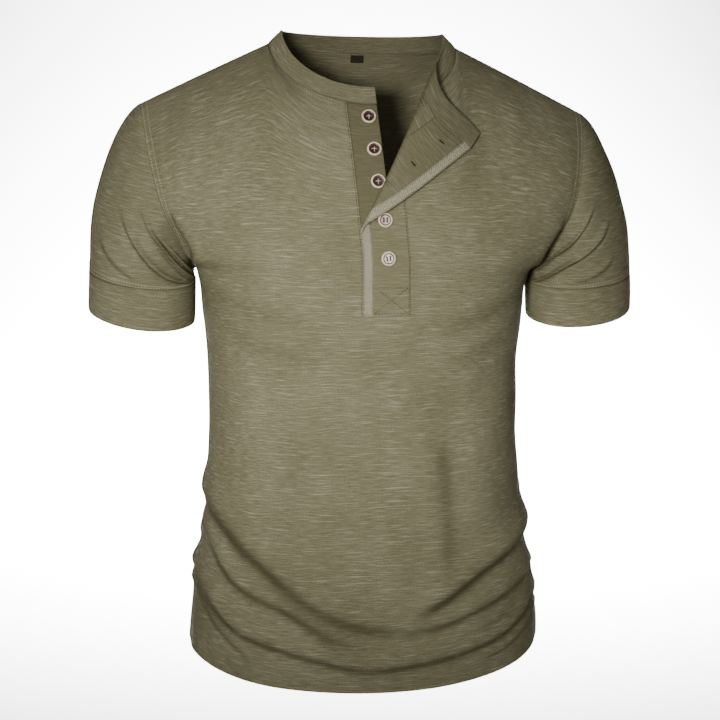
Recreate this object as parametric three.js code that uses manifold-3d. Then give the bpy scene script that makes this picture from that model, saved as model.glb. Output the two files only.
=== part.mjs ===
// Short-sleeved henley shirt in slub jersey, filled out as it is worn, neck placket turned open.
// Frame in millimetres: the origin lies between the two neck points, level with the shoulder seams.
// X runs to the wearer's left, the front faces -Y, Z is up.
import * as THREE from "three";
import Module from "manifold-3d";
import { mergeVertices } from "three/addons/utils/BufferGeometryUtils.js";

const wasm = await Module();
wasm.setup();

// Cloth thicknesses and the gap left at every seam
const WALL = 1.4;
const BAND_WALL = 1.8;
const HEM_WALL = 2.2;
const SEAM_GAP = 0.3;
const TAPE_GAP = 0.9;

// Turns rows of numbers into records with the column names
function table(columns, rows) {
  return rows.map((row) => Object.fromEntries(columns.map((name, i) => [name, row[i]])));
}

// Body levels, hem to mid armhole. side: the side edge, reach: how far round the section turns
// there, in degrees, front and back: the middle of each panel.
const LEVELS = table(
  ["sideX", "sideZ", "frontEdgeY", "backEdgeY", "reach", "frontY", "frontZ", "backY", "backZ"],
  [
    [190, -641, 0, 0, 90, -122, -667, 108, -668], // hem
    [187, -597, 0, 0, 90, -119, -612, 112, -612], // hip
    [175.5, -520, 0, 0, 90, -113, -525, 98, -525], // low waist
    [165.5, -420, 0, 0, 90, -112, -420, 84, -420], // waist
    [165, -340, 0, 0, 90, -120, -335, 88, -335], // ribs
    [169, -283, 0, 0, 90, -127, -275, 96, -275], // chest
    [175, -233, 0, 0, 90, -129, -228, 100, -228], // underarm
    [187, -215, -36, 36, 80, -128, -203, 101, -200], // low armhole
    [205, -180, -62, 60, 66, -124, -172, 101, -165], // mid armhole
  ],
);
const TOP_LEVEL = LEVELS.length - 1;
const UNDERARM_LEVEL = 6;
const BOXINESS = 0.035;

// Neck and shoulder seams. NECK_SHARE is the part of a panel's half width that the neck takes.
const NECK_X = 98;
const SHOULDER_TIP = { x: 231, z: -65 };
const SHOULDER_CROWN = 0.5;
const NECK_SHARE = 0.42;

// Middle of the neck seam and of the band's top, and how the cloth arrives at the seam: its last
// rise at the middle of the neck, at the neck point and at the shoulder tip
const NECK_COLUMNS = [
  "y", "z", "bandY", "bandZ", "riseY", "riseZ", "pointY", "pointZ", "tipY", "tipZ",
];
const NECK = {
  front: table(NECK_COLUMNS, [[-76, -53, -65, -37, 17, 30, 42, 5, 34, 4]])[0],
  back: table(NECK_COLUMNS, [[62, -14, 57, 5, -10, 38, -34, 9, -29, 10]])[0],
};
const BAND_TOP = { x: 84, z: 14 };

// Placket: 48 wide, drawn aside as it hangs, its free edge bound with a 10 mm tape
const PLACKET_HALF = 24;
const PLACKET_FOOT_Z = -262;
const BINDING_WIDTH = 10;
const UNDER_EDGE = 7;
const UNDER_TUCK = 6;
const UNDER_DEPTH = WALL + 0.5;

// Turned-out corner: the line it rolls about, its radii, its height at the tip and its drag
const ROLL = {
  lowX: -7,
  lowZ: -172,
  highX: 61,
  highZ: -50,
  lowRadius: 4,
  highRadius: 6.5,
  tipHeight: 5,
  drag: 0.136,
};
const SLOPE_STRETCH = 1.06;

// Sleeve: rings at the end of the sleeve and at the bottom of its hem band
const CUFF_TOP = { x: 232, y: 1, z: -241.5, halfX: 56, halfY: 62, tiltX: 4.5, tiltY: 5 };
const CUFF_FOOT = { x: 233.5, y: 2, z: -281.5, halfX: 55.5, halfY: 61, tiltX: 6, tiltY: 8 };
const SLEEVE_AROUND = 28;
const SLEEVE_ALONG = 9;

// Buttons, 24 line, and where they are sewn: under is on the button side
const BUTTON = { radius: 7.5, height: 2.8, hole: 0.8, holeSpread: 1.5, sides: 16, holeSides: 6 };
const BUTTONS = [
  { z: -65, offset: -2.8, under: true },
  { z: -96, offset: -1.5, under: true },
  { z: -127, offset: -1.4, under: true },
  { z: -165, offset: 1.5, under: false },
  { z: -203.5, offset: 1.3, under: false },
];

// Largest folds: from (x0, z0) to (x1, z1), sag below the straight line, half width and height
const FOLD_COLUMNS = ["x0", "z0", "x1", "z1", "sag", "half", "height"];
const FRONT_FOLDS = table(FOLD_COLUMNS, [
  [-170, -474, 22, -600, 26, 13, 4.0],
  [-178, -512, -20, -616, 18, 9, 3.5],
  [-185, -566, -10, -641, 16, 9, 3.5],
  [174, -516, 34, -588, 12, 10, 3.5],
  [184, -586, 6, -643, 14, 10, 3.5],
  [72, -400, 86, -560, 0, 14, -2.0],
]);
const BACK_FOLDS = table(FOLD_COLUMNS, [
  [-166, -500, 10, -590, 22, 13, 4.0],
  [170, -478, 20, -560, 20, 12, 3.5],
  [-180, -560, -30, -632, 16, 10, 3.0],
  [182, -575, 40, -640, 16, 10, 3.5],
  [-178, -250, -60, -205, -8, 12, 2.0],
  [178, -244, 70, -200, -8, 12, 2.0],
]);
// Sleeve folds: around is 0 at the underarm, 0.25 at the front, along runs armhole to hem band
const SLEEVE_FOLD_COLUMNS = ["around0", "along0", "around1", "along1", "half", "height"];
const SLEEVE_FOLDS = table(SLEEVE_FOLD_COLUMNS, [
  [0.12, 0.92, 0.24, 0.3, 7, 3.0],
  [0.05, 0.95, 0.3, 0.62, 6, 2.5],
  [0.88, 0.92, 0.74, 0.35, 7, 2.5],
]);

// The shirt sits a little lower on the wearer's left: drop per unit of X, fading down the body
const LEAN = { slope: 0.033, fadeFrom: -100, fadeTo: -400 };

const COLORS = { jersey: 0x7f7b62, shade: 0x6f6a50, tape: 0x94917b, horn: 0xcfc4ae, label: 0x2a2824 };

function vector(x, y, z) {
  return new THREE.Vector3(x, y, z);
}

function smooth(t) {
  const c = Math.min(Math.max(t, 0), 1);
  return c * c * (3 - 2 * c);
}

// Settles a finished point into the shirt's lean
function leaned(point) {
  const share = smooth((point.z - LEAN.fadeTo) / (LEAN.fadeFrom - LEAN.fadeTo));
  return vector(point.x, point.y, point.z - LEAN.slope * share * point.x);
}

// A column of the level table at a fractional level, by a Catmull-Rom curve
function levelValue(name, level) {
  const last = LEVELS.length - 1;
  const i = Math.min(Math.max(Math.floor(level), 0), last - 1);
  const f = level - i;
  const b = LEVELS[i][name];
  const c = LEVELS[i + 1][name];
  const a = i > 0 ? LEVELS[i - 1][name] : 2 * b - c;
  const d = i + 2 <= last ? LEVELS[i + 2][name] : 2 * c - b;
  return b + 0.5 * f * (c - a + f * (2 * a - 5 * b + 4 * c - d + f * (3 * (b - c) + d - a)));
}

// A point of one level section; across runs from -1 to 1 over the panel
function sectionPoint(side, across, level) {
  const closed = level <= UNDERARM_LEVEL;
  const reach = closed ? Math.PI / 2 : THREE.MathUtils.degToRad(levelValue("reach", level));
  const turn = across * reach;
  const wide = (a) => Math.sin(a) + BOXINESS * Math.sin(3 * a);
  const deep = (a) => Math.cos(a) - BOXINESS * Math.cos(3 * a);
  const edgeY = closed ? 0 : levelValue(side + "EdgeY", level);
  const edgeZ = levelValue("sideZ", level);
  const middleY = levelValue(side + "Y", level);
  const middleZ = levelValue(side + "Z", level);
  const forward = (deep(turn) - deep(reach)) / (deep(0) - deep(reach));
  const outward = (Math.sin(turn) / Math.sin(reach)) ** 2;
  return vector(
    (levelValue("sideX", level) * wide(turn)) / wide(reach),
    edgeY + (middleY - edgeY) * forward,
    middleZ + (edgeZ - middleZ) * outward,
  );
}

// The panel's top edge: the neck seam, then the shoulder seam
function topEdge(side, across) {
  const neck = NECK[side];
  const share = Math.abs(across);
  const hand = across < 0 ? -1 : 1;
  const angle = (Math.PI / 2) * Math.min(share / NECK_SHARE, 1);
  const out = Math.max((share - NECK_SHARE) / (1 - NECK_SHARE), 0);
  if (out === 0) {
    const open = Math.cos(angle);
    const point = vector(hand * NECK_X * Math.sin(angle), neck.y * open, neck.z * open);
    return { point, angle, out };
  }
  const x = NECK_X + (SHOULDER_TIP.x - NECK_X) * out;
  const z = SHOULDER_TIP.z * out + SHOULDER_CROWN * Math.sin(Math.PI * out);
  return { point: vector(hand * x, 0, z), angle, out };
}

// A point of the body's outer face, hem (level 0) to neck and shoulder seam (TOP_LEVEL + 1)
function bodyPoint(side, across, level) {
  if (level <= TOP_LEVEL) return sectionPoint(side, across, level);
  const neck = NECK[side];
  const t = Math.min(level - TOP_LEVEL, 1);
  const start = sectionPoint(side, across, TOP_LEVEL);
  const below = sectionPoint(side, across, TOP_LEVEL - 0.04);
  const rise = start.clone().sub(below).normalize().multiplyScalar(48);
  const { point: end, angle, out } = topEdge(side, across);
  const turned = Math.sin(angle) ** 2;
  const legY = (neck.riseY * (1 - turned) + neck.pointY * turned) * (1 - out) + neck.tipY * out;
  const legZ = (neck.riseZ * (1 - turned) + neck.pointZ * turned) * (1 - out) + neck.tipZ * out;
  const first = start.clone().add(rise);
  const second = vector(end.x, end.y - legY, end.z - legZ);
  const u = 1 - t;
  return start
    .multiplyScalar(u ** 3)
    .addScaledVector(first, 3 * t * u * u)
    .addScaledVector(second, 3 * t * t * u)
    .addScaledVector(end, t ** 3);
}

function bodyNormal(side, across, level) {
  const e = 1e-3;
  const left = bodyPoint(side, Math.max(across - e, -1), level);
  const right = bodyPoint(side, Math.min(across + e, 1), level);
  const below = bodyPoint(side, across, Math.max(level - e, 0));
  const above = bodyPoint(side, across, Math.min(level + e, TOP_LEVEL + 1));
  const normal = right.sub(left).cross(above.sub(below)).normalize();
  return side === "back" ? normal.negate() : normal;
}

// The place across the panel where the body has this X
function acrossAtX(side, x, level) {
  let low = -1;
  let high = 1;
  for (let i = 0; i < 32; i++) {
    const mid = (low + high) / 2;
    if (bodyPoint(side, mid, level).x < x) low = mid;
    else high = mid;
  }
  return (low + high) / 2;
}

// The level at which the middle of the front has this Z
function levelAtZ(side, z) {
  let low = 0;
  let high = TOP_LEVEL + 1;
  for (let i = 0; i < 32; i++) {
    const mid = (low + high) / 2;
    if (bodyPoint(side, 0, mid).z < z) low = mid;
    else high = mid;
  }
  return (low + high) / 2;
}

// Middle line of the placket, which hangs a little to the wearer's left lower down
function placketMiddle(z) {
  return 12 * Math.min(Math.max((-53 - z) / 150, 0), 1);
}

// Height added by the folds of a table at a place seen from the front
function foldHeight(folds, x, z) {
  let height = 0;
  for (const fold of folds) {
    const runX = fold.x1 - fold.x0;
    const runZ = fold.z1 - fold.z0;
    const run = Math.hypot(runX, runZ);
    const along = ((x - fold.x0) * runX + (z - fold.z0) * runZ) / (run * run);
    const c = Math.min(Math.max(along, 0), 1);
    const hand = runX < 0 ? 1 : -1;
    const above = (hand * ((x - fold.x0) * runZ - (z - fold.z0) * runX)) / run;
    const aside = above + 4 * fold.sag * c * (1 - c);
    const beyond = Math.max(Math.abs(along - 0.5) - 0.5, 0) * run;
    const taper = smooth(c / 0.25) * smooth((1 - c) / 0.35);
    const spread = (aside / fold.half) ** 2 + (beyond / fold.half) ** 2;
    height += fold.height * Math.exp(-spread) * (0.25 + 0.75 * taper);
  }
  return height;
}

// Resting depth under the turned-out corner: the front's Y over a grid of X and Z, evened out
const REST = { x0: -48, z0: -282, step: 6, columns: 46, rows: 56 };
const restDepth = [];
for (let i = 0; i < REST.columns; i++) {
  const x = REST.x0 + i * REST.step;
  const profile = [];
  for (let j = 0; j <= 60; j++) {
    const level = 6 + (j / 60) * (TOP_LEVEL + 1 - 6);
    profile.push(bodyPoint("front", acrossAtX("front", x, level), level));
  }
  const column = [];
  for (let j = 0; j < REST.rows; j++) {
    const z = REST.z0 + j * REST.step;
    let k = profile.findIndex((p) => p.z > z);
    if (k < 0) k = profile.length - 1;
    k = Math.max(k, 1);
    const below = profile[k - 1];
    const above = profile[k];
    column.push(below.y + ((above.y - below.y) * (z - below.z)) / (above.z - below.z));
  }
  restDepth.push(column);
}
for (let pass = 0; pass < 3; pass++) {
  const before = restDepth.map((column) => column.slice());
  for (let i = 1; i < REST.columns - 1; i++) {
    for (let j = 1; j < REST.rows - 1; j++) {
      const cross = before[i - 1][j] + before[i + 1][j] + before[i][j - 1] + before[i][j + 1];
      restDepth[i][j] = before[i][j] / 2 + cross / 8;
    }
  }
}

function restPoint(x, z) {
  const u = Math.min(Math.max((x - REST.x0) / REST.step, 0), REST.columns - 1.001);
  const v = Math.min(Math.max((z - REST.z0) / REST.step, 0), REST.rows - 1.001);
  const i = Math.floor(u);
  const j = Math.floor(v);
  const fu = u - i;
  const fv = v - j;
  const low = restDepth[i][j] * (1 - fu) + restDepth[i + 1][j] * fu;
  const high = restDepth[i][j + 1] * (1 - fu) + restDepth[i + 1][j + 1] * fu;
  return vector(x, low * (1 - fv) + high * fv, z);
}

function restNormal(x, z) {
  const e = 3;
  const aside = restPoint(x + e, z).sub(restPoint(x - e, z));
  const up = restPoint(x, z + e).sub(restPoint(x, z - e));
  return aside.cross(up).normalize();
}

// Where a point of the closed front goes when the corner is rolled open. height is its distance
// outside the cloth's outer face, and ease below 1 holds the roll back near the shoulder.
function rolledPoint(point, normal, height, ease = 1) {
  const runX = ROLL.highX - ROLL.lowX;
  const runZ = (ROLL.highZ - ROLL.lowZ) * SLOPE_STRETCH;
  const run = Math.hypot(runX, runZ);
  const ux = runX / run;
  const uz = runZ / run;
  const px = point.x - ROLL.lowX;
  const pz = (point.z - ROLL.lowZ) * SLOPE_STRETCH;
  const along = px * ux + pz * uz;
  const beyond = (-px * uz + pz * ux) * ease;
  if (beyond <= 0) return point.clone().addScaledVector(normal, height);
  const share = Math.min(Math.max(along / run, 0), 1);
  const radius = ROLL.lowRadius + (ROLL.highRadius - ROLL.lowRadius) * share;
  const turn = Math.min(beyond / radius, Math.PI);
  const past = Math.max(beyond - radius * turn, 0);
  const settle = smooth(past / 56);
  const aside = radius * Math.sin(turn) + past * Math.cos(turn) - height * Math.sin(turn);
  const rolledLift = radius * (1 - Math.cos(turn)) + height * Math.cos(turn);
  const lift = rolledLift - (2 * radius - ROLL.tipHeight) * settle;
  const source = (-px * uz + pz * ux) * (1 - ease);
  const length = along * (1 + ROLL.drag * settle);
  const x = ROLL.lowX + length * ux - (aside + source) * uz;
  const z = ROLL.lowZ + (length * uz + (aside + source) * ux) / SLOPE_STRETCH;
  const base = restPoint(x, z).sub(restPoint(point.x, point.z)).add(point);
  return base.addScaledVector(restNormal(x, z), lift);
}

// X of the roll line at a height
function rollX(z) {
  return ROLL.lowX + ((z - ROLL.lowZ) * (ROLL.highX - ROLL.lowX)) / (ROLL.highZ - ROLL.lowZ);
}

// One closed solid of cloth from a grid of point pairs, outer face and inner face
function clothSolid(rows, columns, pairAt, { around = false, present = () => true } = {}) {
  const corners = around ? columns : columns + 1;
  const positions = [];
  const slots = new Map();
  const inside = (i, j) => i >= 0 && i < rows && (around || (j >= 0 && j < columns));
  const here = (i, j) => inside(i, j) && present(i, (j + columns) % columns);
  const slot = (i, j, face) => {
    const column = around ? j % corners : j;
    const key = (i * corners + column) * 2 + face;
    if (!slots.has(key)) {
      const pair = pairAt(i, column).map(leaned);
      for (const f of [0, 1]) {
        slots.set((i * corners + column) * 2 + f, positions.length / 3);
        positions.push(pair[f].x, pair[f].y, pair[f].z);
      }
    }
    return slots.get(key);
  };
  const triangles = [];
  const quad = (a, b, c, d) => triangles.push(a, b, c, a, c, d);
  for (let i = 0; i < rows; i++) {
    for (let j = 0; j < columns; j++) {
      if (!here(i, j)) continue;
      const at = [[i, j], [i, j + 1], [i + 1, j + 1], [i + 1, j]];
      const out = at.map(([r, c]) => slot(r, c, 0));
      const inn = at.map(([r, c]) => slot(r, c, 1));
      quad(out[0], out[1], out[2], out[3]);
      quad(inn[3], inn[2], inn[1], inn[0]);
      const neighbours = [[i - 1, j], [i, j + 1], [i + 1, j], [i, j - 1]];
      neighbours.forEach(([r, c], side) => {
        if (here(r, c)) return;
        const next = (side + 1) % 4;
        quad(out[next], out[side], inn[side], inn[next]);
      });
    }
  }
  const geometry = new THREE.BufferGeometry();
  geometry.setAttribute("position", new THREE.Float32BufferAttribute(positions, 3));
  geometry.setIndex(enclosed(positions, triangles) < 0 ? triangles.reverse() : triangles);
  geometry.computeVertexNormals();
  return geometry;
}

function enclosed(positions, triangles) {
  let volume = 0;
  const corner = (i) => vector(positions[3 * i], positions[3 * i + 1], positions[3 * i + 2]);
  for (let t = 0; t < triangles.length; t += 3) {
    const [a, b, c] = [corner(triangles[t]), corner(triangles[t + 1]), corner(triangles[t + 2])];
    volume += a.dot(b.cross(c)) / 6;
  }
  return volume;
}

// Evenly divided steps through a list of marks
function divided(marks, counts) {
  const steps = [marks[0]];
  counts.forEach((count, m) => {
    for (let i = 1; i <= count; i++) steps.push(marks[m] + ((marks[m + 1] - marks[m]) * i) / count);
  });
  return steps;
}

// At the side and shoulder seams both panels share one wall direction
function seamNormal(side, across, level) {
  const normal = bodyNormal(side, across, level);
  const atSide = Math.abs(across) > 0.999 && level <= UNDERARM_LEVEL + 0.01;
  const atShoulder = level > TOP_LEVEL + 0.995 && Math.abs(across) > NECK_SHARE - 0.001;
  if (atSide || atShoulder) normal.setY(0).normalize();
  return normal;
}

// The level at which the front has this X and Z
function levelAtPlace(x, z) {
  let low = 0;
  let high = TOP_LEVEL + 1;
  for (let i = 0; i < 24; i++) {
    const mid = (low + high) / 2;
    if (bodyPoint("front", acrossAtX("front", x, mid), mid).z < z) low = mid;
    else high = mid;
  }
  return (low + high) / 2;
}

// Z at this X of a line parallel to the roll line and the given share of a half turn past it
function rollZ(x, share) {
  const across = Math.min(Math.max((x - ROLL.lowX) / (ROLL.highX - ROLL.lowX), 0), 1);
  const radius = ROLL.lowRadius + (ROLL.highRadius - ROLL.lowRadius) * across;
  const runX = ROLL.highX - ROLL.lowX;
  const runZ = (ROLL.highZ - ROLL.lowZ) * SLOPE_STRETCH;
  const run = Math.hypot(runX, runZ);
  const beyond = share * Math.PI * radius;
  return ROLL.lowZ + ((beyond * run + (x - ROLL.lowX) * runZ) / runX) / SLOPE_STRETCH;
}

// Z where the placket's sewn edge meets the roll line
let rollEdgeZ = -108;
for (let i = 0; i < 8; i++) rollEdgeZ = rollZ(placketMiddle(rollEdgeZ) + PLACKET_HALF, 0);

const FOOT_ROW = 10;
const LOW_ROWS = 5;
const TURN_ROWS = 5;
const HIGH_ROWS = 4;
const SEAM_LEVEL = TOP_LEVEL + 1 - 0.005;
const FOOT_LEVEL = levelAtZ("front", PLACKET_FOOT_Z);
const rollEdgeX = placketMiddle(rollEdgeZ) + PLACKET_HALF;
const turnLevels = [];
for (let m = 0; m <= TURN_ROWS; m++) {
  turnLevels.push(levelAtPlace(rollEdgeX + m, rollZ(rollEdgeX, m / TURN_ROWS)));
}
const frontLevels = divided(
  [0, FOOT_LEVEL, UNDERARM_LEVEL, turnLevels[0], ...turnLevels.slice(1), SEAM_LEVEL],
  [FOOT_ROW, 1, LOW_ROWS - 1, ...turnLevels.slice(1).map(() => 1), HIGH_ROWS],
);
const backLevels = divided([0, UNDERARM_LEVEL, TOP_LEVEL, SEAM_LEVEL], [12, 4, 7]);

// Front columns: side, neck point, placket, roll lines, neck point, side
const SHOULDER_COLUMNS = 8;
const LEFT_COLUMNS = 7;
const PLACKET_COLUMNS = 4;
const ROLL_COLUMNS = 5;
const RIGHT_COLUMNS = 6;
const PLACKET_COLUMN = SHOULDER_COLUMNS + LEFT_COLUMNS;
const FRONT_COLUMNS = PLACKET_COLUMN + PLACKET_COLUMNS + ROLL_COLUMNS + RIGHT_COLUMNS + SHOULDER_COLUMNS;

function frontColumns(level) {
  const z = bodyPoint("front", 0, level).z;
  const middle = placketMiddle(z);
  const atX = (x) => acrossAtX("front", x, level);
  const leftEdge = atX(middle - PLACKET_HALF);
  const rightEdge = atX(middle + PLACKET_HALF);
  const places = divided(
    [-1, -NECK_SHARE, leftEdge, rightEdge],
    [SHOULDER_COLUMNS, LEFT_COLUMNS, PLACKET_COLUMNS],
  );
  for (let m = 1; m <= ROLL_COLUMNS; m++) {
    const behind = ((ROLL_COLUMNS - m) * Math.PI * ROLL.highRadius) / 4 / 0.885;
    places.push(atX(Math.max(middle + PLACKET_HALF + 4 * m, rollX(z) - behind)));
  }
  const rest = divided([places.at(-1), NECK_SHARE, 1], [RIGHT_COLUMNS, SHOULDER_COLUMNS]);
  return places.concat(rest.slice(1));
}

function bodyFront() {
  const grid = frontLevels.map(frontColumns);
  return clothSolid(
    frontLevels.length - 1,
    FRONT_COLUMNS,
    (i, j) => {
      const level = frontLevels[i];
      const across = grid[i][j];
      const normal = seamNormal("front", across, level);
      const point = bodyPoint("front", across, level);
      point.addScaledVector(normal, foldHeight(FRONT_FOLDS, point.x, point.z));
      point.y -= SEAM_GAP / 2;
      const rolled = j >= PLACKET_COLUMN + PLACKET_COLUMNS && i > FOOT_ROW;
      return [0, -WALL].map((h) =>
        rolled ? rolledPoint(point, normal, h) : point.clone().addScaledVector(normal, h),
      );
    },
    {
      present: (i, j) => {
        return i < FOOT_ROW || j < PLACKET_COLUMN || j >= PLACKET_COLUMN + PLACKET_COLUMNS;
      },
    },
  );
}

const BACK_NECK_COLUMNS = 14;
const backColumns = divided(
  [-1, -NECK_SHARE, NECK_SHARE, 1],
  [SHOULDER_COLUMNS, BACK_NECK_COLUMNS, SHOULDER_COLUMNS],
);

function bodyBack() {
  const places = backColumns;
  return clothSolid(backLevels.length - 1, places.length - 1, (i, j) => {
    const normal = seamNormal("back", places[j], backLevels[i]);
    const point = bodyPoint("back", places[j], backLevels[i]);
    point.addScaledVector(normal, foldHeight(BACK_FOLDS, point.x, point.z));
    point.y += SEAM_GAP / 2;
    return [0, -WALL].map((h) => point.clone().addScaledVector(normal, h));
  });
}

// A strip of the placket between two offsets from its middle line
function placketStrip(from, to, columns, rows, levelOf, outside, inside, rolled) {
  return clothSolid(rows, columns, (i, j) => {
    const offset = from + ((to - from) * j) / columns;
    const level = levelOf(i, offset);
    const x = placketMiddle(bodyPoint("front", 0, level).z) + offset;
    const across = acrossAtX("front", x, level);
    const normal = bodyNormal("front", across, level);
    const point = bodyPoint("front", across, level);
    point.y -= SEAM_GAP / 2;
    return [outside, inside].map((h) =>
      rolled ? rolledPoint(point, normal, h) : point.clone().addScaledVector(normal, h),
    );
  });
}

// Rows of the overlap: level with the foot, then fanning out to follow the roll line
function overLevel(i, offset) {
  const edge = frontLevels[FOOT_ROW + i];
  const footLevel = FOOT_LEVEL + 0.004;
  const atRoll = (share) => {
    let z = rollEdgeZ;
    for (let n = 0; n < 8; n++) z = rollZ(placketMiddle(z) + offset, share);
    return Math.min(levelAtPlace(placketMiddle(z) + offset, z), SEAM_LEVEL);
  };
  if (i <= LOW_ROWS) {
    const share = (edge - FOOT_LEVEL) / (turnLevels[0] - FOOT_LEVEL);
    return footLevel + (atRoll(0) - footLevel) * share;
  }
  if (i <= LOW_ROWS + TURN_ROWS) return atRoll((i - LOW_ROWS) / TURN_ROWS);
  const share = (i - LOW_ROWS - TURN_ROWS) / HIGH_ROWS;
  return atRoll(1) + (SEAM_LEVEL - atRoll(1)) * share;
}

const OVER_ROWS = LOW_ROWS + TURN_ROWS + HIGH_ROWS;
const footBelow = levelAtZ("front", PLACKET_FOOT_Z - UNDER_TUCK);
const underLevels = [footBelow, ...frontLevels.slice(FOOT_ROW)];

// Neckband: walked from the button side's edge round the back to the turned-out end, with a
// corner at every column of the panels that it is sewn to
const OVER_COLUMNS = 7;
const TAPE_COLUMNS = 2;
const overFrom = -PLACKET_HALF + BINDING_WIDTH;
const overTo = PLACKET_HALF - 2 * SEAM_GAP;
const bandWalk = [];
{
  const middle = placketMiddle(bodyPoint("front", 0, SEAM_LEVEL).z);
  const atOffset = (offset) => acrossAtX("front", middle + offset, SEAM_LEVEL);
  const places = frontColumns(SEAM_LEVEL);
  const rightEdge = PLACKET_COLUMN + PLACKET_COLUMNS;
  const neckPoint = rightEdge + ROLL_COLUMNS + RIGHT_COLUMNS;
  const buttonSide = [UNDER_EDGE, -4, -14].map(atOffset);
  const rightFront = places.slice(SHOULDER_COLUMNS, PLACKET_COLUMN + 1).reverse();
  const back = backColumns.slice(SHOULDER_COLUMNS, SHOULDER_COLUMNS + BACK_NECK_COLUMNS + 1);
  const leftFront = places.slice(rightEdge, neckPoint + 1).reverse();
  const over = divided([overTo, overFrom], [OVER_COLUMNS]).map(atOffset);
  const tapeSpan = [overFrom - TAPE_GAP, -PLACKET_HALF + 2 * SEAM_GAP];
  const tapeEnds = divided(tapeSpan, [TAPE_COLUMNS]).map(atOffset);
  const walk = (list, side, rolled) => list.forEach((across) => bandWalk.push({ side, across, rolled }));
  walk(buttonSide, "front", false);
  walk(rightFront, "front", false);
  walk(back.slice(1), "back", false);
  walk(leftFront.slice(1), "front", true);
  walk(over.slice(1), "front", true);
  walk(tapeEnds.slice(1), "front", true);
  for (const stop of bandWalk) stop.angle = (Math.PI / 2) * (stop.across / NECK_SHARE);
}

function bandPoint(side, angle, up) {
  const neck = NECK[side];
  const c = Math.cos(angle);
  const s = Math.sin(angle);
  return vector(
    s * (NECK_X + up * (BAND_TOP.x - NECK_X)),
    c * (neck.y + up * (neck.bandY - neck.y)),
    c * (neck.z + up * (neck.bandZ - neck.z)) + up * (1 - c) * BAND_TOP.z,
  );
}

function neckband() {
  const rows = 3;
  return clothSolid(rows, bandWalk.length - 1, (i, j) => {
    const { side, angle, rolled } = bandWalk[j];
    const up = i / rows;
    const point = bandPoint(side, angle, up);
    const aside = bandPoint(side, angle + 1e-3, up).sub(bandPoint(side, angle - 1e-3, up));
    const normal = aside.cross(bandPoint(side, angle, 1).sub(bandPoint(side, angle, 0))).normalize();
    if (side === "back") normal.negate();
    const ease = smooth((Math.PI / 2 - angle) / 0.6);
    return [0.2, 0.2 - BAND_WALL].map((h) =>
      rolled ? rolledPoint(point, normal, h, ease) : point.clone().addScaledVector(normal, h),
    );
  });
}

// Armhole of one side, from the underarm up the front to the shoulder tip and down the back
function armholeLoop(hand) {
  const path = [];
  const steps = 60;
  for (let i = 0; i <= steps; i++) {
    const level = UNDERARM_LEVEL + ((TOP_LEVEL + 1 - UNDERARM_LEVEL) * i) / steps;
    path.push(bodyPoint("front", hand, level));
  }
  for (let i = steps - 1; i >= 0; i--) {
    const level = UNDERARM_LEVEL + ((TOP_LEVEL + 1 - UNDERARM_LEVEL) * i) / steps;
    path.push(bodyPoint("back", hand, level));
  }
  const half = (list) => {
    const lengths = [0];
    for (let i = 1; i < list.length; i++) {
      lengths.push(lengths[i - 1] + list[i].distanceTo(list[i - 1]));
    }
    return (t) => {
      const target = t * lengths.at(-1);
      let i = 1;
      while (i < list.length - 1 && lengths[i] < target) i++;
      const f = (target - lengths[i - 1]) / (lengths[i] - lengths[i - 1]);
      return list[i - 1].clone().lerp(list[i], f);
    };
  };
  const front = half(path.slice(0, steps + 1));
  const back = half(path.slice(steps));
  return (around) => (around <= 0.5 ? front(around * 2) : back(around * 2 - 1));
}

function ringPoint(ring, hand, around) {
  const a = 2 * Math.PI * around;
  return vector(
    hand * (ring.x - ring.halfX * Math.cos(a)),
    ring.y - ring.halfY * Math.sin(a),
    ring.z - ring.tiltX * Math.cos(a) - ring.tiltY * Math.sin(a),
  );
}

function sleevePoint(hand, loop, around, along) {
  const a = 2 * Math.PI * around;
  const lifted = Math.sin(Math.PI * around) ** 2;
  const leave = vector(hand * (0.62 + 0.22 * lifted), -0.3 * Math.sin(a), -0.78 + 0.24 * lifted);
  leave.normalize();
  const start = loop(around).addScaledVector(leave, 0.8);
  const first = start.clone().addScaledVector(leave, 9 + 26 * lifted);
  const end = ringPoint(CUFF_TOP, hand, around);
  const second = end.clone().add(vector(0, 0, 5 + 65 * lifted));
  const u = 1 - along;
  return start
    .multiplyScalar(u ** 3)
    .addScaledVector(first, 3 * along * u * u)
    .addScaledVector(second, 3 * along * along * u)
    .addScaledVector(end, along ** 3);
}

// Offsets a tube point outwards; the tube's own faces give the direction
function tubeNormal(pointAt, hand, around, along) {
  const e = 1e-3;
  const round = pointAt((around + e) % 1, along).sub(pointAt((around - e + 1) % 1, along));
  const below = pointAt(around, Math.min(along + e, 1));
  const down = below.sub(pointAt(around, Math.max(along - e, 0)));
  return down.cross(round).multiplyScalar(hand).normalize();
}

function sleeveFold(pointAt, around, along) {
  let height = 0;
  const here = pointAt(around, along);
  for (const fold of SLEEVE_FOLDS) {
    let best = 1e9;
    let taper = 0;
    for (let i = 0; i <= 12; i++) {
      const t = i / 12;
      const a = fold.around0 + (fold.around1 - fold.around0) * t;
      const l = fold.along0 + (fold.along1 - fold.along0) * t;
      const distance = here.distanceTo(pointAt(a, l));
      if (distance < best) {
        best = distance;
        taper = smooth(t / 0.3) * smooth((1 - t) / 0.5);
      }
    }
    height += fold.height * Math.exp(-((best / fold.half) ** 2)) * taper;
  }
  return height;
}

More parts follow.
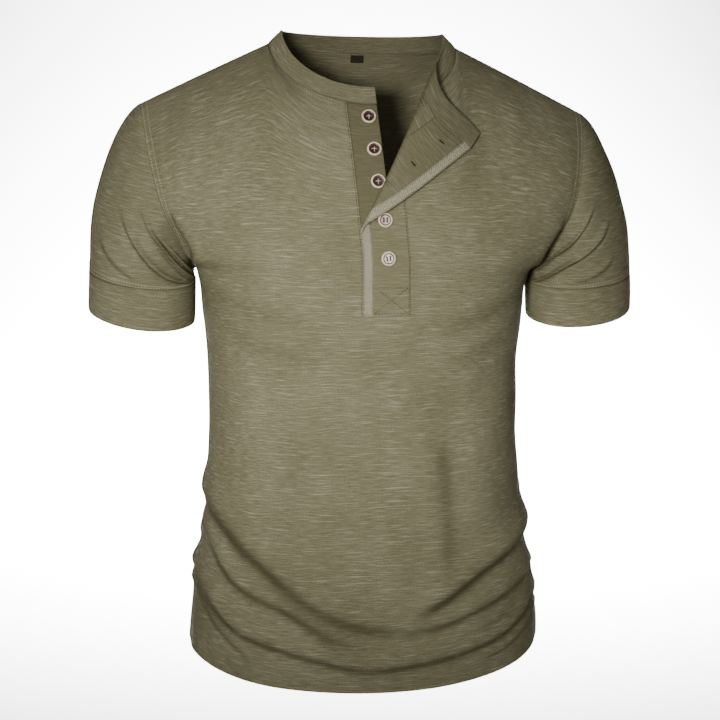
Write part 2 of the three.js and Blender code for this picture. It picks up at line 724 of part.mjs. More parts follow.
function sleeve(hand) {
  const loop = armholeLoop(hand);
  const pointAt = (around, along) => sleevePoint(hand, loop, around, along);
  return clothSolid(
    SLEEVE_ALONG,
    SLEEVE_AROUND,
    (i, j) => {
      const around = j / SLEEVE_AROUND;
      const along = i / SLEEVE_ALONG;
      const normal = tubeNormal(pointAt, hand, around, along);
      const ends = smooth(along / 0.2) * smooth((1 - along) / 0.15);
      const height = sleeveFold(pointAt, around, along) * ends;
      return [height, height - WALL].map((h) => pointAt(around, along).addScaledVector(normal, h));
    },
    { around: true },
  );
}

function sleeveHemBand(hand) {
  const pointAt = (around, along) => {
    const top = ringPoint(CUFF_TOP, hand, around).add(vector(0, 0, -SEAM_GAP - 0.2));
    return top.lerp(ringPoint(CUFF_FOOT, hand, around), along);
  };
  return clothSolid(
    2,
    SLEEVE_AROUND,
    (i, j) => {
      const around = j / SLEEVE_AROUND;
      const normal = tubeNormal(pointAt, hand, around, i / 2);
      return [0.4, 0.4 - HEM_WALL].map((h) => pointAt(around, i / 2).addScaledVector(normal, h));
    },
    { around: true },
  );
}

// Button: a turned blank with a raised rim, cut by four sewing holes
function asSolid(geometry) {
  const bare = geometry.clone();
  bare.deleteAttribute("normal");
  bare.deleteAttribute("uv");
  const merged = mergeVertices(bare, 1e-4);
  return new wasm.Manifold(
    new wasm.Mesh({
      numProp: 3,
      vertProperties: merged.attributes.position.array,
      triVerts: new Uint32Array(merged.index.array),
    }),
  );
}

function buttonGeometry() {
  const r = BUTTON.radius;
  const h = BUTTON.height;
  const profile = [
    [0, 0],
    [0.8 * r, 0],
    [r, 0.45 * h],
    [0.9 * r, 0.95 * h],
    [0.8 * r, h],
    [0.68 * r, 0.68 * h],
    [0, 0.6 * h],
  ].map(([x, y]) => new THREE.Vector2(x, y));
  const blank = new THREE.LatheGeometry(profile, BUTTON.sides);
  let solid = asSolid(blank);
  if (solid.volume() < 0) solid = asSolid(flipped(blank));
  for (const [sx, sz] of [[1, 1], [1, -1], [-1, 1], [-1, -1]]) {
    const drill = new THREE.CylinderGeometry(BUTTON.hole, BUTTON.hole, 3 * h, BUTTON.holeSides);
    drill.translate(sx * BUTTON.holeSpread, 0, sz * BUTTON.holeSpread);
    solid = solid.subtract(asSolid(drill));
  }
  const mesh = solid.getMesh();
  const geometry = new THREE.BufferGeometry();
  geometry.setAttribute("position", new THREE.Float32BufferAttribute(mesh.vertProperties, 3));
  geometry.setIndex(Array.from(mesh.triVerts));
  return geometry;
}

function flipped(geometry) {
  const copy = geometry.clone();
  copy.setIndex(Array.from(copy.index.array).reverse());
  return copy;
}

function labelGeometry() {
  const low = levelAtZ("back", -23);
  const high = levelAtZ("back", -15);
  return clothSolid(2, 4, (i, j) => {
    const level = low + ((high - low) * i) / 2;
    const across = acrossAtX("back", -6 + 3.5 * j, level);
    const normal = bodyNormal("back", across, level);
    const point = bodyPoint("back", across, level);
    const lift = -WALL - SEAM_GAP;
    return [lift, lift - 0.8].map((h) => point.clone().addScaledVector(normal, h));
  });
}

const shirt = new THREE.Group();

function sew(name, geometry, color, roughness) {
  const material = new THREE.MeshStandardMaterial({ color, roughness, metalness: 0, flatShading: true });
  const mesh = new THREE.Mesh(geometry, material);
  mesh.name = name;
  shirt.add(mesh);
  return mesh;
}

sew("body_front", bodyFront(), COLORS.jersey, 0.9);
sew("body_back", bodyBack(), COLORS.jersey, 0.9);
for (const [name, hand] of [["right", -1], ["left", 1]]) {
  sew("sleeve_" + name, sleeve(hand), COLORS.jersey, 0.9);
  sew("sleeve_hem_" + name, sleeveHemBand(hand), COLORS.jersey, 0.9);
}
sew("neckband", neckband(), COLORS.jersey, 0.9);

const underFrom = -PLACKET_HALF - UNDER_TUCK;
const under = placketStrip(
  underFrom,
  UNDER_EDGE,
  4,
  underLevels.length - 1,
  (i) => underLevels[i],
  -UNDER_DEPTH,
  -UNDER_DEPTH - WALL,
  false,
);
sew("placket_under", under, COLORS.shade, 0.9);
const over = placketStrip(overFrom, overTo, OVER_COLUMNS, OVER_ROWS, overLevel, 0, -WALL, true);
sew("placket_over", over, COLORS.jersey, 0.9);
const tapeFrom = -PLACKET_HALF + 2 * SEAM_GAP;
const tapeTo = overFrom - TAPE_GAP;
const tape = placketStrip(tapeFrom, tapeTo, TAPE_COLUMNS, OVER_ROWS, overLevel, 0.5, -WALL, true);
sew("placket_binding", tape, COLORS.tape, 0.85);

BUTTONS.forEach((button, index) => {
  const level = levelAtZ("front", button.z);
  const across = acrossAtX("front", placketMiddle(button.z) + button.offset, level);
  const normal = bodyNormal("front", across, level);
  const foot = button.under ? SEAM_GAP - UNDER_DEPTH : SEAM_GAP;
  const mesh = sew("button_" + (index + 1), buttonGeometry(), COLORS.horn, 0.45);
  mesh.quaternion.setFromUnitVectors(vector(0, 1, 0), normal);
  const place = bodyPoint("front", across, level);
  place.y -= SEAM_GAP / 2;
  mesh.position.copy(leaned(place.addScaledVector(normal, foot)));
});

sew("neck_label", labelGeometry(), COLORS.label, 0.8);

export default shirt;
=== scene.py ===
import math

import bpy
import numpy as np
from mathutils import Matrix, Vector


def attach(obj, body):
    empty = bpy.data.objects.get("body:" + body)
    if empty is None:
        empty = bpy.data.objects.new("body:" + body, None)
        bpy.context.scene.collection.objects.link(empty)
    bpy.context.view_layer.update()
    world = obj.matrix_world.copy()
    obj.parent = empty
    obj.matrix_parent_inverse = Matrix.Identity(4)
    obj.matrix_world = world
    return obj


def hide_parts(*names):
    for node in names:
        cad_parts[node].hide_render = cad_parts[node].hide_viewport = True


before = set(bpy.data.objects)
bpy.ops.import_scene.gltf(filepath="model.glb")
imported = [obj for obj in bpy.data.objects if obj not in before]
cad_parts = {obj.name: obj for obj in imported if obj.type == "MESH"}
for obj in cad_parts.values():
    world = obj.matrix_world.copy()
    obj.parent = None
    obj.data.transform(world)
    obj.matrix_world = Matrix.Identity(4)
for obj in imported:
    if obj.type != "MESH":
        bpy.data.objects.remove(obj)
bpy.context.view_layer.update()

# A short-sleeved henley in slub jersey. Shapes are worked out in millimetres, in the shirt's own
# frame: X to the wearer's left, the front towards -Y, Z up, origin between the two neck points.
MM = 0.001

# Cloth thicknesses, and how far apart sewn pieces lie: here they meet, as sewn cloth does
WALL = 1.4
BAND_WALL = 1.8
HEM_WALL = 2.2
LABEL_WALL = 0.8
JOIN = 0.02
BUTTON_CLEAR = 0.3
SIDE_JOIN = 0.25

# Levels of the body, hem to mid armhole: side edge, turn of the section, middle of each panel
LEVEL_COLUMNS = [
    "sideX", "sideZ", "frontEdgeY", "backEdgeY", "reach", "frontY", "frontZ", "backY", "backZ",
]
LEVELS = np.array([
    [190, -641, 0, 0, 90, -122, -667, 108, -668],
    [187, -597, 0, 0, 90, -119, -612, 112, -612],
    [175.5, -520, 0, 0, 90, -113, -525, 98, -525],
    [165.5, -420, 0, 0, 90, -112, -420, 84, -420],
    [165, -340, 0, 0, 90, -120, -335, 88, -335],
    [169, -283, 0, 0, 90, -127, -275, 96, -275],
    [175, -233, 0, 0, 90, -129, -228, 100, -228],
    [187, -215, -36, 36, 80, -128, -203, 101, -200],
    [205, -180, -62, 60, 66, -124, -172, 101, -165],
], float)
TOP_LEVEL = len(LEVELS) - 1
UNDERARM_LEVEL = 6
SEAM_LEVEL = TOP_LEVEL + 1
# Cloth between the top level and the neck and shoulder seams
YOKE_RISE = 105.0
BOXINESS = 0.035

# Neck and shoulder seams, and how the cloth arrives at them
NECK_X = 98.0
SHOULDER_TIP_X = 231.0
SHOULDER_TIP_Z = -65.0
SHOULDER_CROWN = 0.5
NECK_SHARE = 0.42
NECK_COLUMNS = [
    "y", "z", "bandY", "bandZ", "riseY", "riseZ", "pointY", "pointZ", "tipY", "tipZ",
]
NECK = {
    "front": dict(zip(NECK_COLUMNS, [-76, -53, -65, -37, 17, 30, 42, 5, 34, 4])),
    "back": dict(zip(NECK_COLUMNS, [62, -14, 57, 5, -10, 38, -34, 9, -29, 10])),
}
BAND_TOP_X = 84.0
BAND_TOP_Z = 14.0
BAND_HEIGHT = 20.0

# Placket
PLACKET_HALF = 24.0
PLACKET_FOOT_Z = -262.0
BINDING_WIDTH = 10.0
UNDER_EDGE = 7.0
UNDER_TUCK = 6.0
UNDER_DEPTH = WALL + 0.5

# The corner that is turned out: the line it rolls about, its radii, its height at the tip
ROLL = dict(
    lowX=-7.0,
    lowZ=-172.0,
    highX=61.0,
    highZ=-50.0,
    lowRadius=4.0,
    highRadius=6.5,
    tipHeight=5.0,
    drag=0.136,
)
SLOPE_STRETCH = 1.06
LEAN = dict(slope=0.033, fadeFrom=-100.0, fadeTo=-400.0)

# Sleeve rings
CUFF_TOP = dict(x=232, y=1, z=-241.5, halfX=56, halfY=62, tiltX=4.5, tiltY=5)
CUFF_FOOT = dict(x=233.5, y=2, z=-281.5, halfX=55.5, halfY=61, tiltX=6, tiltY=8)
SLEEVE_GIRTH = 380.0
SLEEVE_LENGTH = 160.0

# Buttons: height on the front, sideways offset from the placket's middle, on the button side
BUTTONS = [
    (-65.0, -2.8, True),
    (-96.0, -1.5, True),
    (-127.0, -1.4, True),
    (-165.0, 1.5, False),
    (-203.5, 1.3, False),
]

# Creases, each a line through marks (x, z) from the wearer's right to left. Then how wide the
# ridge over the line is, how wide the drop under it, its height, and what is left of it at the
# line's first and last end.
FRONT_CREASES = [
    ([(-178, -460), (-161, -480), (-117, -531), (-53, -581), (7, -600), (60, -604)], 20, 9, 6.0, 0.5, 0.0),
    ([(-176, -500), (-141, -555), (-82, -584), (-33, -612), (12, -621)], 13, 6, 4.6, 0.6, 0.0),
    ([(-184, -562), (-145, -602), (-102, -619), (-24, -640), (16, -642)], 12, 6, 4.6, 0.8, 0.3),
    ([(-10, -643), (16, -642), (84, -632), (141, -615), (184, -588)], 12, 6, 4.4, 0.2, 0.8),
    ([(-180, -548), (-168, -568), (-147, -598), (-138, -606)], 6, 4, 2.4, 0.7, 0.0),
    ([(-184, -570), (-161, -604), (-126, -637)], 7, 4, 2.8, 0.9, 0.1),
    ([(-176, -470), (-158, -495), (-132, -528), (-118, -540)], 9, 6, 2.4, 0.8, 0.0),
    ([(34, -590), (73, -573), (118, -544), (166, -520), (180, -510)], 18, 8, 5.6, 0.0, 0.8),
    ([(30, -604), (78, -597), (132, -578), (180, -560)], 10, 6, 4.0, 0.0, 0.8),
    ([(112, -640), (150, -628), (186, -604)], 6, 4, 2.0, 0.0, 0.8),
    ([(-205, -165), (-192, -187), (-182, -206), (-181, -222)], 8, 4, 4.0, 0.0, 0.7),
    ([(181, -222), (184, -206), (194, -187), (206, -165)], 10, 5, 3.6, 0.7, 0.0),
    ([(-178, -240), (-120, -262), (-50, -270)], 15, 11, 1.4, 0.8, 0.0),
    ([(60, -276), (120, -264), (178, -236)], 15, 11, 1.4, 0.0, 0.8),
    ([(-172, -262), (-110, -300), (-40, -312)], 16, 12, 1.1, 0.6, 0.0),
    ([(50, -316), (115, -302), (172, -262)], 16, 12, 1.1, 0.0, 0.6),
    ([(66, -390), (74, -414), (84, -543), (92, -560)], 14, 12, -1.8, 0.0, 0.0),
    ([(-70, -380), (-84, -450), (-100, -520)], 20, 18, 1.2, 0.0, 0.0),
    ([(-110, -560), (-60, -606), (-10, -628)], 7, 5, 1.8, 0.0, 0.0),
    ([(90, -612), (130, -600), (160, -586)], 6, 5, 1.6, 0.0, 0.0),
]
BACK_CREASES = [
    ([(-180, -470), (-150, -500), (-100, -545), (-20, -584), (40, -590)], 18, 9, 5.4, 0.6, 0.0),
    ([(-40, -570), (40, -562), (110, -530), (160, -500), (180, -478)], 16, 9, 4.8, 0.0, 0.7),
    ([(-184, -556), (-140, -596), (-80, -622), (-10, -632)], 12, 7, 4.2, 0.8, 0.0),
    ([(20, -640), (90, -626), (150, -600), (184, -570)], 12, 7, 4.4, 0.0, 0.8),
    ([(-178, -520), (-130, -562), (-70, -588)], 8, 5, 2.6, 0.6, 0.0),
    ([(80, -592), (130, -574), (178, -536)], 8, 5, 2.4, 0.0, 0.6),
    ([(-178, -244), (-130, -225), (-60, -214)], 13, 9, 2.0, 0.7, 0.0),
    ([(62, -208), (120, -220), (178, -240)], 13, 9, 2.0, 0.0, 0.7),
    ([(-172, -290), (-110, -324), (-40, -338)], 15, 11, 1.4, 0.6, 0.0),
    ([(40, -350), (110, -336), (170, -300)], 15, 11, 1.4, 0.0, 0.6),
    ([(-20, -400), (-28, -500), (-40, -590)], 18, 18, 1.6, 0.0, 0.0),
    ([(58, -380), (60, -470), (54, -560)], 16, 16, 1.4, 0.0, 0.0),
]
# Sleeve creases: marks are (share of the way round from the underarm, share of the length)
SLEEVE_CREASES = {
    -1: [
        ([(0.07, 0.93), (0.165, 0.875), (0.22, 0.792), (0.292, 0.65), (0.36, 0.52)], 7, 4, 4.0, 0.6, 0.0),
        ([(0.05, 0.84), (0.113, 0.658), (0.193, 0.483), (0.238, 0.43), (0.30, 0.33)], 6, 4, 3.6, 0.6, 0.0),
        ([(0.26, 0.96), (0.30, 0.917), (0.362, 0.85), (0.42, 0.76)], 6, 4, 2.0, 0.0, 0.0),
        ([(0.05, 0.60), (0.075, 0.442), (0.133, 0.375), (0.19, 0.37)], 5, 3, 1.8, 0.6, 0.0),
    ],
    1: [
        ([(0.06, 0.45), (0.12, 0.36), (0.177, 0.392), (0.233, 0.358), (0.31, 0.34)], 7, 4, 3.0, 0.6, 0.0),
        (
            [(0.07, 0.93), (0.13, 0.76), (0.18, 0.68), (0.24, 0.655), (0.305, 0.617), (0.36, 0.55)],
            7, 4, 3.6, 0.6, 0.0,
        ),
        ([(0.20, 0.94), (0.27, 0.90), (0.35, 0.82)], 6, 4, 1.6, 0.0, 0.0),
    ],
}
SLEEVE_BACK_CREASES = [
    ([(0.64, 0.52), (0.72, 0.66), (0.80, 0.80), (0.92, 0.92)], 8, 5, 3.2, 0.0, 0.5),
    ([(0.68, 0.30), (0.76, 0.46), (0.86, 0.60), (0.94, 0.80)], 7, 5, 2.6, 0.0, 0.5),
    ([(0.58, 0.84), (0.68, 0.92), (0.78, 0.96)], 6, 4, 1.6, 0.0, 0.0),
]
# How the side seams pull in and swell: height, shift outwards
SIDE_SHIFTS = {
    -1: [
        (-420, 0), (-460, -0.5), (-482, -4.0), (-504, 0.5), (-524, -1.5),
        (-552, 1.5), (-571, -1.0), (-600, -2.5), (-650, -2.0),
    ],
    1: [
        (-420, 0), (-470, 0.5), (-510, 2.0), (-529, -0.5), (-552, 3.0),
        (-567, 4.5), (-586, 0.5), (-604, 2.0), (-628, 3.5), (-650, 2.0),
    ],
}


def smooth(t):
    c = np.clip(t, 0.0, 1.0)
    return c * c * (3 - 2 * c)


def unit(v):
    return v / np.maximum(np.linalg.norm(v, axis=-1, keepdims=True), 1e-9)


def points(x, y, z):
    return np.stack(np.broadcast_arrays(x, y, z), -1).astype(float)


def divided(marks, counts):
    steps = [np.array([marks[0]], float)]
    for low, high, count in zip(marks[:-1], marks[1:], counts):
        steps.append(low + (high - low) * np.arange(1, count + 1) / count)
    return np.concatenate(steps)


# A rounded line through marks, in equal steps
def rounded_line(marks, steps=64):
    marks = np.asarray(marks, float)
    ends = np.concatenate([[2 * marks[0] - marks[1]], marks, [2 * marks[-1] - marks[-2]]])
    path = []
    for i in range(len(marks) - 1):
        a, b, c, d = ends[i : i + 4]
        f = np.linspace(0, 1, 24)[:, None]
        path.append(b + 0.5 * f * (c - a + f * (2 * a - 5 * b + 4 * c - d + f * (3 * (b - c) + d - a))))
    path = np.concatenate(path)
    length = np.concatenate([[0], np.cumsum(np.linalg.norm(np.diff(path, axis=0), axis=1))])
    at = np.linspace(0, length[-1], steps)
    return np.stack([np.interp(at, length, path[:, k]) for k in (0, 1)], -1), length[-1]


# Height that creases add at places (x, z), and how much painted shade a place gets under a ridge
def crease_relief(creases, x, z):
    height = np.zeros_like(x)
    painted_shade = np.zeros_like(x)
    for marks, above, below, tall, first, last in creases:
        line, length = rounded_line(marks)
        way = np.gradient(line, axis=0)
        way = unit(way)
        near = np.hypot(x[..., None] - line[:, 0], z[..., None] - line[:, 1]).argmin(-1)
        dx, dz = x - line[near, 0], z - line[near, 1]
        wx, wz = way[near, 0], way[near, 1]
        aside = dz * wx - dx * wz
        run = near * length / (len(line) - 1) + dx * wx + dz * wz
        beyond = np.maximum(np.abs(run - length / 2) - length / 2, 0)
        share = np.clip(run / length, 0, 1)
        left = first + (1 - first) * smooth(share / 0.22)
        left = left * (last + (1 - last) * smooth((1 - share) / 0.30))
        left = left * np.exp(-((beyond / above) ** 2))
        over = aside - 0.7 * below
        ridge = np.exp(-((over / np.where(over > 0, above, below)) ** 2))
        valley = np.exp(-(((aside + 0.9 * below) / below) ** 2))
        height += 1.25 * tall * left * (ridge - 0.35 * valley)
        painted_shade += np.abs(tall) / 5 * left * np.exp(-(((aside + 0.1 * below) / (0.9 * below)) ** 2))
    return height, np.clip(painted_shade, 0, 1)


# Slow unevenness of hanging cloth: a few long soft waves, the same at every run
def unevenness(x, z, seed, size):
    chosen = np.random.default_rng(seed)
    height = np.zeros_like(x)
    for _ in range(9):
        heading = chosen.uniform(0, math.pi)
        wave = chosen.uniform(45, 130)
        phase = chosen.uniform(0, 2 * math.pi)
        height += np.sin((x * math.cos(heading) + z * math.sin(heading)) * 2 * math.pi / wave + phase)
    return height * size / 3


# The body's surface, hem (level 0) to the neck and shoulder seams (SEAM_LEVEL)
def level_value(name, level):
    table = LEVELS[:, LEVEL_COLUMNS.index(name)]
    padded = np.concatenate([[2 * table[0] - table[1]], table, [2 * table[-1] - table[-2]]])
    i = np.clip(np.floor(level).astype(int), 0, TOP_LEVEL - 1)
    f = level - i
    a, b, c, d = padded[i], padded[i + 1], padded[i + 2], padded[i + 3]
    return b + 0.5 * f * (c - a + f * (2 * a - 5 * b + 4 * c - d + f * (3 * (b - c) + d - a)))


def wide(a):
    return np.sin(a) + BOXINESS * np.sin(3 * a)


def deep(a):
    return np.cos(a) - BOXINESS * np.cos(3 * a)


def section_point(side, across, level):
    closed = level <= UNDERARM_LEVEL
    reach = np.where(closed, math.pi / 2, np.radians(level_value("reach", level)))
    turn = across * reach
    edge_y = np.where(closed, 0.0, level_value(side + "EdgeY", level))
    middle_y = level_value(side + "Y", level)
    middle_z = level_value(side + "Z", level)
    forward = (deep(turn) - deep(reach)) / (deep(0 * reach) - deep(reach))
    outward = (np.sin(turn) / np.sin(reach)) ** 2
    return points(
        level_value("sideX", level) * wide(turn) / wide(reach),
        edge_y + (middle_y - edge_y) * forward,
        middle_z + (level_value("sideZ", level) - middle_z) * outward,
    )


def body_point(side, across, level):
    across, level = np.broadcast_arrays(np.asarray(across, float), np.asarray(level, float))
    neck = NECK[side]
    t = np.clip(level - TOP_LEVEL, 0, 1)[..., None]
    top = np.full_like(level, TOP_LEVEL)
    start = section_point(side, across, top)
    rise = unit(start - section_point(side, across, top - 0.04)) * 48
    share = np.abs(across)
    hand = np.where(across < 0, -1.0, 1.0)
    angle = math.pi / 2 * np.minimum(share / NECK_SHARE, 1)
    out = np.maximum((share - NECK_SHARE) / (1 - NECK_SHARE), 0)
    on_neck = out <= 0
    shoulder_z = SHOULDER_TIP_Z * out + SHOULDER_CROWN * np.sin(math.pi * out)
    end = points(
        hand * np.where(on_neck, NECK_X * np.sin(angle), NECK_X + (SHOULDER_TIP_X - NECK_X) * out),
        np.where(on_neck, neck["y"] * np.cos(angle), 0.0),
        np.where(on_neck, neck["z"] * np.cos(angle), shoulder_z),
    )
    turned = np.sin(angle) ** 2
    leg_y = (neck["riseY"] * (1 - turned) + neck["pointY"] * turned) * (1 - out) + neck["tipY"] * out
    leg_z = (neck["riseZ"] * (1 - turned) + neck["pointZ"] * turned) * (1 - out) + neck["tipZ"] * out
    second = end - points(0 * leg_y, leg_y, leg_z)
    u = 1 - t
    upper = u**3 * start + 3 * t * u * u * (start + rise) + 3 * t * t * u * second + t**3 * end
    base = section_point(side, across, np.minimum(level, TOP_LEVEL))
    return np.where((level > TOP_LEVEL)[..., None], upper, base)


def body_normal(side, across, level):
    across, level = np.broadcast_arrays(np.asarray(across, float), np.asarray(level, float))
    e = 1e-3
    aside = body_point(side, np.minimum(across + e, 1), level)
    aside = aside - body_point(side, np.maximum(across - e, -1), level)
    up = body_point(side, across, np.minimum(level + e, SEAM_LEVEL))
    up = up - body_point(side, across, np.maximum(level - e, 0))
    normal = unit(np.cross(aside, up))
    normal = -normal if side == "back" else normal
    at_side = (np.abs(across) > 0.999) & (level <= UNDERARM_LEVEL + 0.01)
    at_shoulder = (level > SEAM_LEVEL - 0.01) & (np.abs(across) > NECK_SHARE - 0.001)
    flat = unit(normal * np.array([1.0, 0.0, 1.0]))
    return np.where((at_side | at_shoulder)[..., None], flat, normal)


def across_at_x(side, x, level):
    x, level = np.broadcast_arrays(np.asarray(x, float), np.asarray(level, float))
    low, high = -np.ones_like(x), np.ones_like(x)
    for _ in range(26):
        mid = (low + high) / 2
        less = body_point(side, mid, level)[..., 0] < x
        low, high = np.where(less, mid, low), np.where(less, high, mid)
    return (low + high) / 2


def level_at_z(side, z):
    z = np.asarray(z, float)
    low, high = np.zeros_like(z), np.full_like(z, SEAM_LEVEL)
    for _ in range(26):
        mid = (low + high) / 2
        less = body_point(side, 0 * mid, mid)[..., 2] < z
        low, high = np.where(less, mid, low), np.where(less, high, mid)
    return (low + high) / 2


# Distance up the cloth from the hem, measured on the middle of a panel
def cloth_length(side, level):
    marks = np.linspace(0, SEAM_LEVEL, 400)
    path = body_point(side, 0 * marks, marks)
    length = np.concatenate([[0], np.cumsum(np.linalg.norm(np.diff(path, axis=0), axis=1))])
    return np.interp(level, marks, length)


def placket_middle(z):
    return 12 * np.clip((-53 - z) / 150, 0, 1)


FOOT_LEVEL = float(level_at_z("front", PLACKET_FOOT_Z))

# Resting depth under the turned-out corner: the front's Y over a grid of X and Z, evened out
REST_STEP = 6
REST_X = -48 + REST_STEP * np.arange(46)
REST_Z = -282 + REST_STEP * np.arange(56)


def rest_depth_grid():
    levels = np.linspace(UNDERARM_LEVEL, SEAM_LEVEL, 61)
    grid = []
    for x in REST_X:
        profile = body_point("front", across_at_x("front", x, levels), levels)
        z, y = profile[:, 2], profile[:, 1]
        column = np.interp(REST_Z, z, y)
        past = REST_Z > z[-1]
        column[past] = y[-1] + (REST_Z[past] - z[-1]) * (y[-1] - y[-2]) / (z[-1] - z[-2])
        before = REST_Z < z[0]
        column[before] = y[0] + (REST_Z[before] - z[0]) * (y[1] - y[0]) / (z[1] - z[0])
        grid.append(column)
    grid = np.array(grid)
    for _ in range(3):
        cross = grid[:-2, 1:-1] + grid[2:, 1:-1] + grid[1:-1, :-2] + grid[1:-1, 2:]
        evened = grid.copy()
        evened[1:-1, 1:-1] = grid[1:-1, 1:-1] / 2 + cross / 8
        grid = evened
    return grid


REST_DEPTH = rest_depth_grid()


def rest_point(x, z):
    u = np.clip((x - REST_X[0]) / REST_STEP, 0, len(REST_X) - 1.001)
    v = np.clip((z - REST_Z[0]) / REST_STEP, 0, len(REST_Z) - 1.001)
    i, j = u.astype(int), v.astype(int)
    fu, fv = u - i, v - j
    low = REST_DEPTH[i, j] * (1 - fu) + REST_DEPTH[i + 1, j] * fu
    high = REST_DEPTH[i, j + 1] * (1 - fu) + REST_DEPTH[i + 1, j + 1] * fu
    return points(x, low * (1 - fv) + high * fv, z)


def rest_normal(x, z):
    e = 3
    aside = rest_point(x + e, z) - rest_point(x - e, z)
    up = rest_point(x, z + e) - rest_point(x, z - e)
    return unit(np.cross(aside, up))


# Takes points of the closed front to where they lie with the corner rolled open. height is the
# distance outside the cloth's outer face, ease below 1 holds the roll back near the shoulder.
def rolled_point(point, normal, height, ease=1.0):
    run_x = ROLL["highX"] - ROLL["lowX"]
    run_z = (ROLL["highZ"] - ROLL["lowZ"]) * SLOPE_STRETCH
    run = math.hypot(run_x, run_z)
    ux, uz = run_x / run, run_z / run
    px = point[..., 0] - ROLL["lowX"]
    pz = (point[..., 2] - ROLL["lowZ"]) * SLOPE_STRETCH
    along = px * ux + pz * uz
    reach = -px * uz + pz * ux
    beyond = reach * ease
    share = np.clip(along / run, 0, 1)
    radius = ROLL["lowRadius"] + (ROLL["highRadius"] - ROLL["lowRadius"]) * share
    turn = np.clip(beyond / radius, 0, math.pi)
    past = np.maximum(beyond - radius * turn, 0)
    settle = smooth(past / 56)
    aside = radius * np.sin(turn) + past * np.cos(turn) - height * np.sin(turn) + reach * (1 - ease)
    lift = radius * (1 - np.cos(turn)) + height * np.cos(turn)
    lift = lift - (2 * radius - ROLL["tipHeight"]) * settle
    length = along * (1 + ROLL["drag"] * settle)
    x = ROLL["lowX"] + length * ux - aside * uz
    z = ROLL["lowZ"] + (length * uz + aside * ux) / SLOPE_STRETCH
    base = rest_point(x, z) - rest_point(point[..., 0], point[..., 2]) + point
    rolled = base + rest_normal(x, z) * lift[..., None]
    plain = point + normal * np.broadcast_to(height, px.shape)[..., None]
    return np.where((beyond > 0)[..., None], rolled, plain)


def roll_x(z):
    run = (ROLL["highX"] - ROLL["lowX"]) / (ROLL["highZ"] - ROLL["lowZ"])
    return ROLL["lowX"] + (z - ROLL["lowZ"]) * run


def leaned(point):
    share = smooth((point[..., 2] - LEAN["fadeTo"]) / (LEAN["fadeFrom"] - LEAN["fadeTo"]))
    out = point.copy()
    out[..., 2] -= LEAN["slope"] * share * point[..., 0]
    return out


# A stretch of cloth as it lies: points of its outer face with creases, the way out of it, where
# it follows the turned-out corner, and the painted shade each point gets in a crease or at a seam
class Lay:
    def __init__(self, point, normal, rolled=False, ease=1.0, painted_shade=None):
        self.point = point
        self.normal = normal
        self.rolled = np.broadcast_to(np.asarray(rolled, bool), point.shape[:-1])
        self.ease = ease
        self.painted_shade = np.zeros(point.shape[:-1]) if painted_shade is None else painted_shade
        self.reverse = 0.0

    def at(self, height):
        height = np.broadcast_to(np.asarray(height, float), self.point.shape[:-1])
        flat = self.point + self.normal * height[..., None]
        if not self.rolled.any():
            return leaned(flat)
        turned = rolled_point(self.point, self.normal, height, self.ease)
        return leaned(np.where(self.rolled[..., None], turned, flat))

    def face(self):
        low = self.at(0.0)
        return low, unit(self.at(1.0) - low)


HALF_GIRTH = 280.0


# Painted shade darkens the cloth in the groove at a seam
def seam_shadow(distance):
    return np.exp(-((distance / 1.1) ** 2))



def body_lay(side, across, level, rolled=False):
    across, level = np.broadcast_arrays(np.asarray(across, float), np.asarray(level, float))
    point = body_point(side, across, level)
    # Below the neck point the cloth turns softly from neck to shoulder
    step = 0.05
    near = smooth(1 - np.abs(np.abs(across) - NECK_SHARE) / 0.10) * smooth((SEAM_LEVEL - level) / 0.2)
    near = near * smooth((level - TOP_LEVEL) / 0.1)
    beside = body_point(side, across + step, level) + body_point(side, across - step, level)
    point = point + (beside / 2 - point) * (0.7 * near * (np.abs(across) < 1 - step))[..., None]
    normal = body_normal(side, across, level)
    x, z = point[..., 0], point[..., 2]
    creases = FRONT_CREASES if side == "front" else BACK_CREASES
    height, painted_shade = crease_relief(creases, x, z)
    edge = smooth((1 - np.abs(across)) * HALF_GIRTH / 26)
    top = smooth((SEAM_LEVEL - level) * YOKE_RISE / 22)
    calm = edge * top
    if side == "front":
        off_placket = np.abs(x - placket_middle(z))
        calm = calm * np.where(z < PLACKET_FOOT_Z - 20, 1.0, smooth((off_placket - 26) / 22))
    height = height * edge + unevenness(x, z, 11 if side == "front" else 23, 0.8) * calm
    for hand, rows in SIDE_SHIFTS.items():
        rows = np.array(sorted(rows), float)
        fine = np.linspace(rows[0, 0], rows[-1, 0], 120)
        padded = np.pad(np.interp(fine, rows[:, 0], rows[:, 1]), 4, "edge")
        shift = np.convolve(padded, np.ones(9) / 9, "valid")
        share = 1 - smooth((1 - across * hand) * HALF_GIRTH / 45)
        height = height + np.interp(z, fine, shift) * share * (level < UNDERARM_LEVEL)
    seam = np.where(level > UNDERARM_LEVEL, (1 - np.abs(across)) * HALF_GIRTH * 0.85, 99.0)
    seam = np.minimum(seam, (SEAM_LEVEL - level) * YOKE_RISE)
    height = height - 0.45 * np.exp(-((seam / 2.4) ** 2))
    point = point + normal * height[..., None]
    point[..., 1] += JOIN / 2 if side == "back" else -JOIN / 2
    return Lay(point, normal, rolled, painted_shade=painted_shade * edge)


def placket_lay(offset, level, rolled):
    offset, level = np.broadcast_arrays(np.asarray(offset, float), np.asarray(level, float))
    z = body_point("front", 0 * level, level)[..., 2]
    across = across_at_x("front", placket_middle(z) + offset, level)
    point = body_point("front", across, level)
    ripple = 0.22 * np.sin(level * 61 + offset * 0.33) * np.sin(level * 23 + 1.3)
    normal = body_normal("front", across, level)
    point = point + normal * (ripple * smooth((SEAM_LEVEL - level) / 0.08))[..., None]
    point[..., 1] -= JOIN / 2
    return Lay(point, normal, rolled)


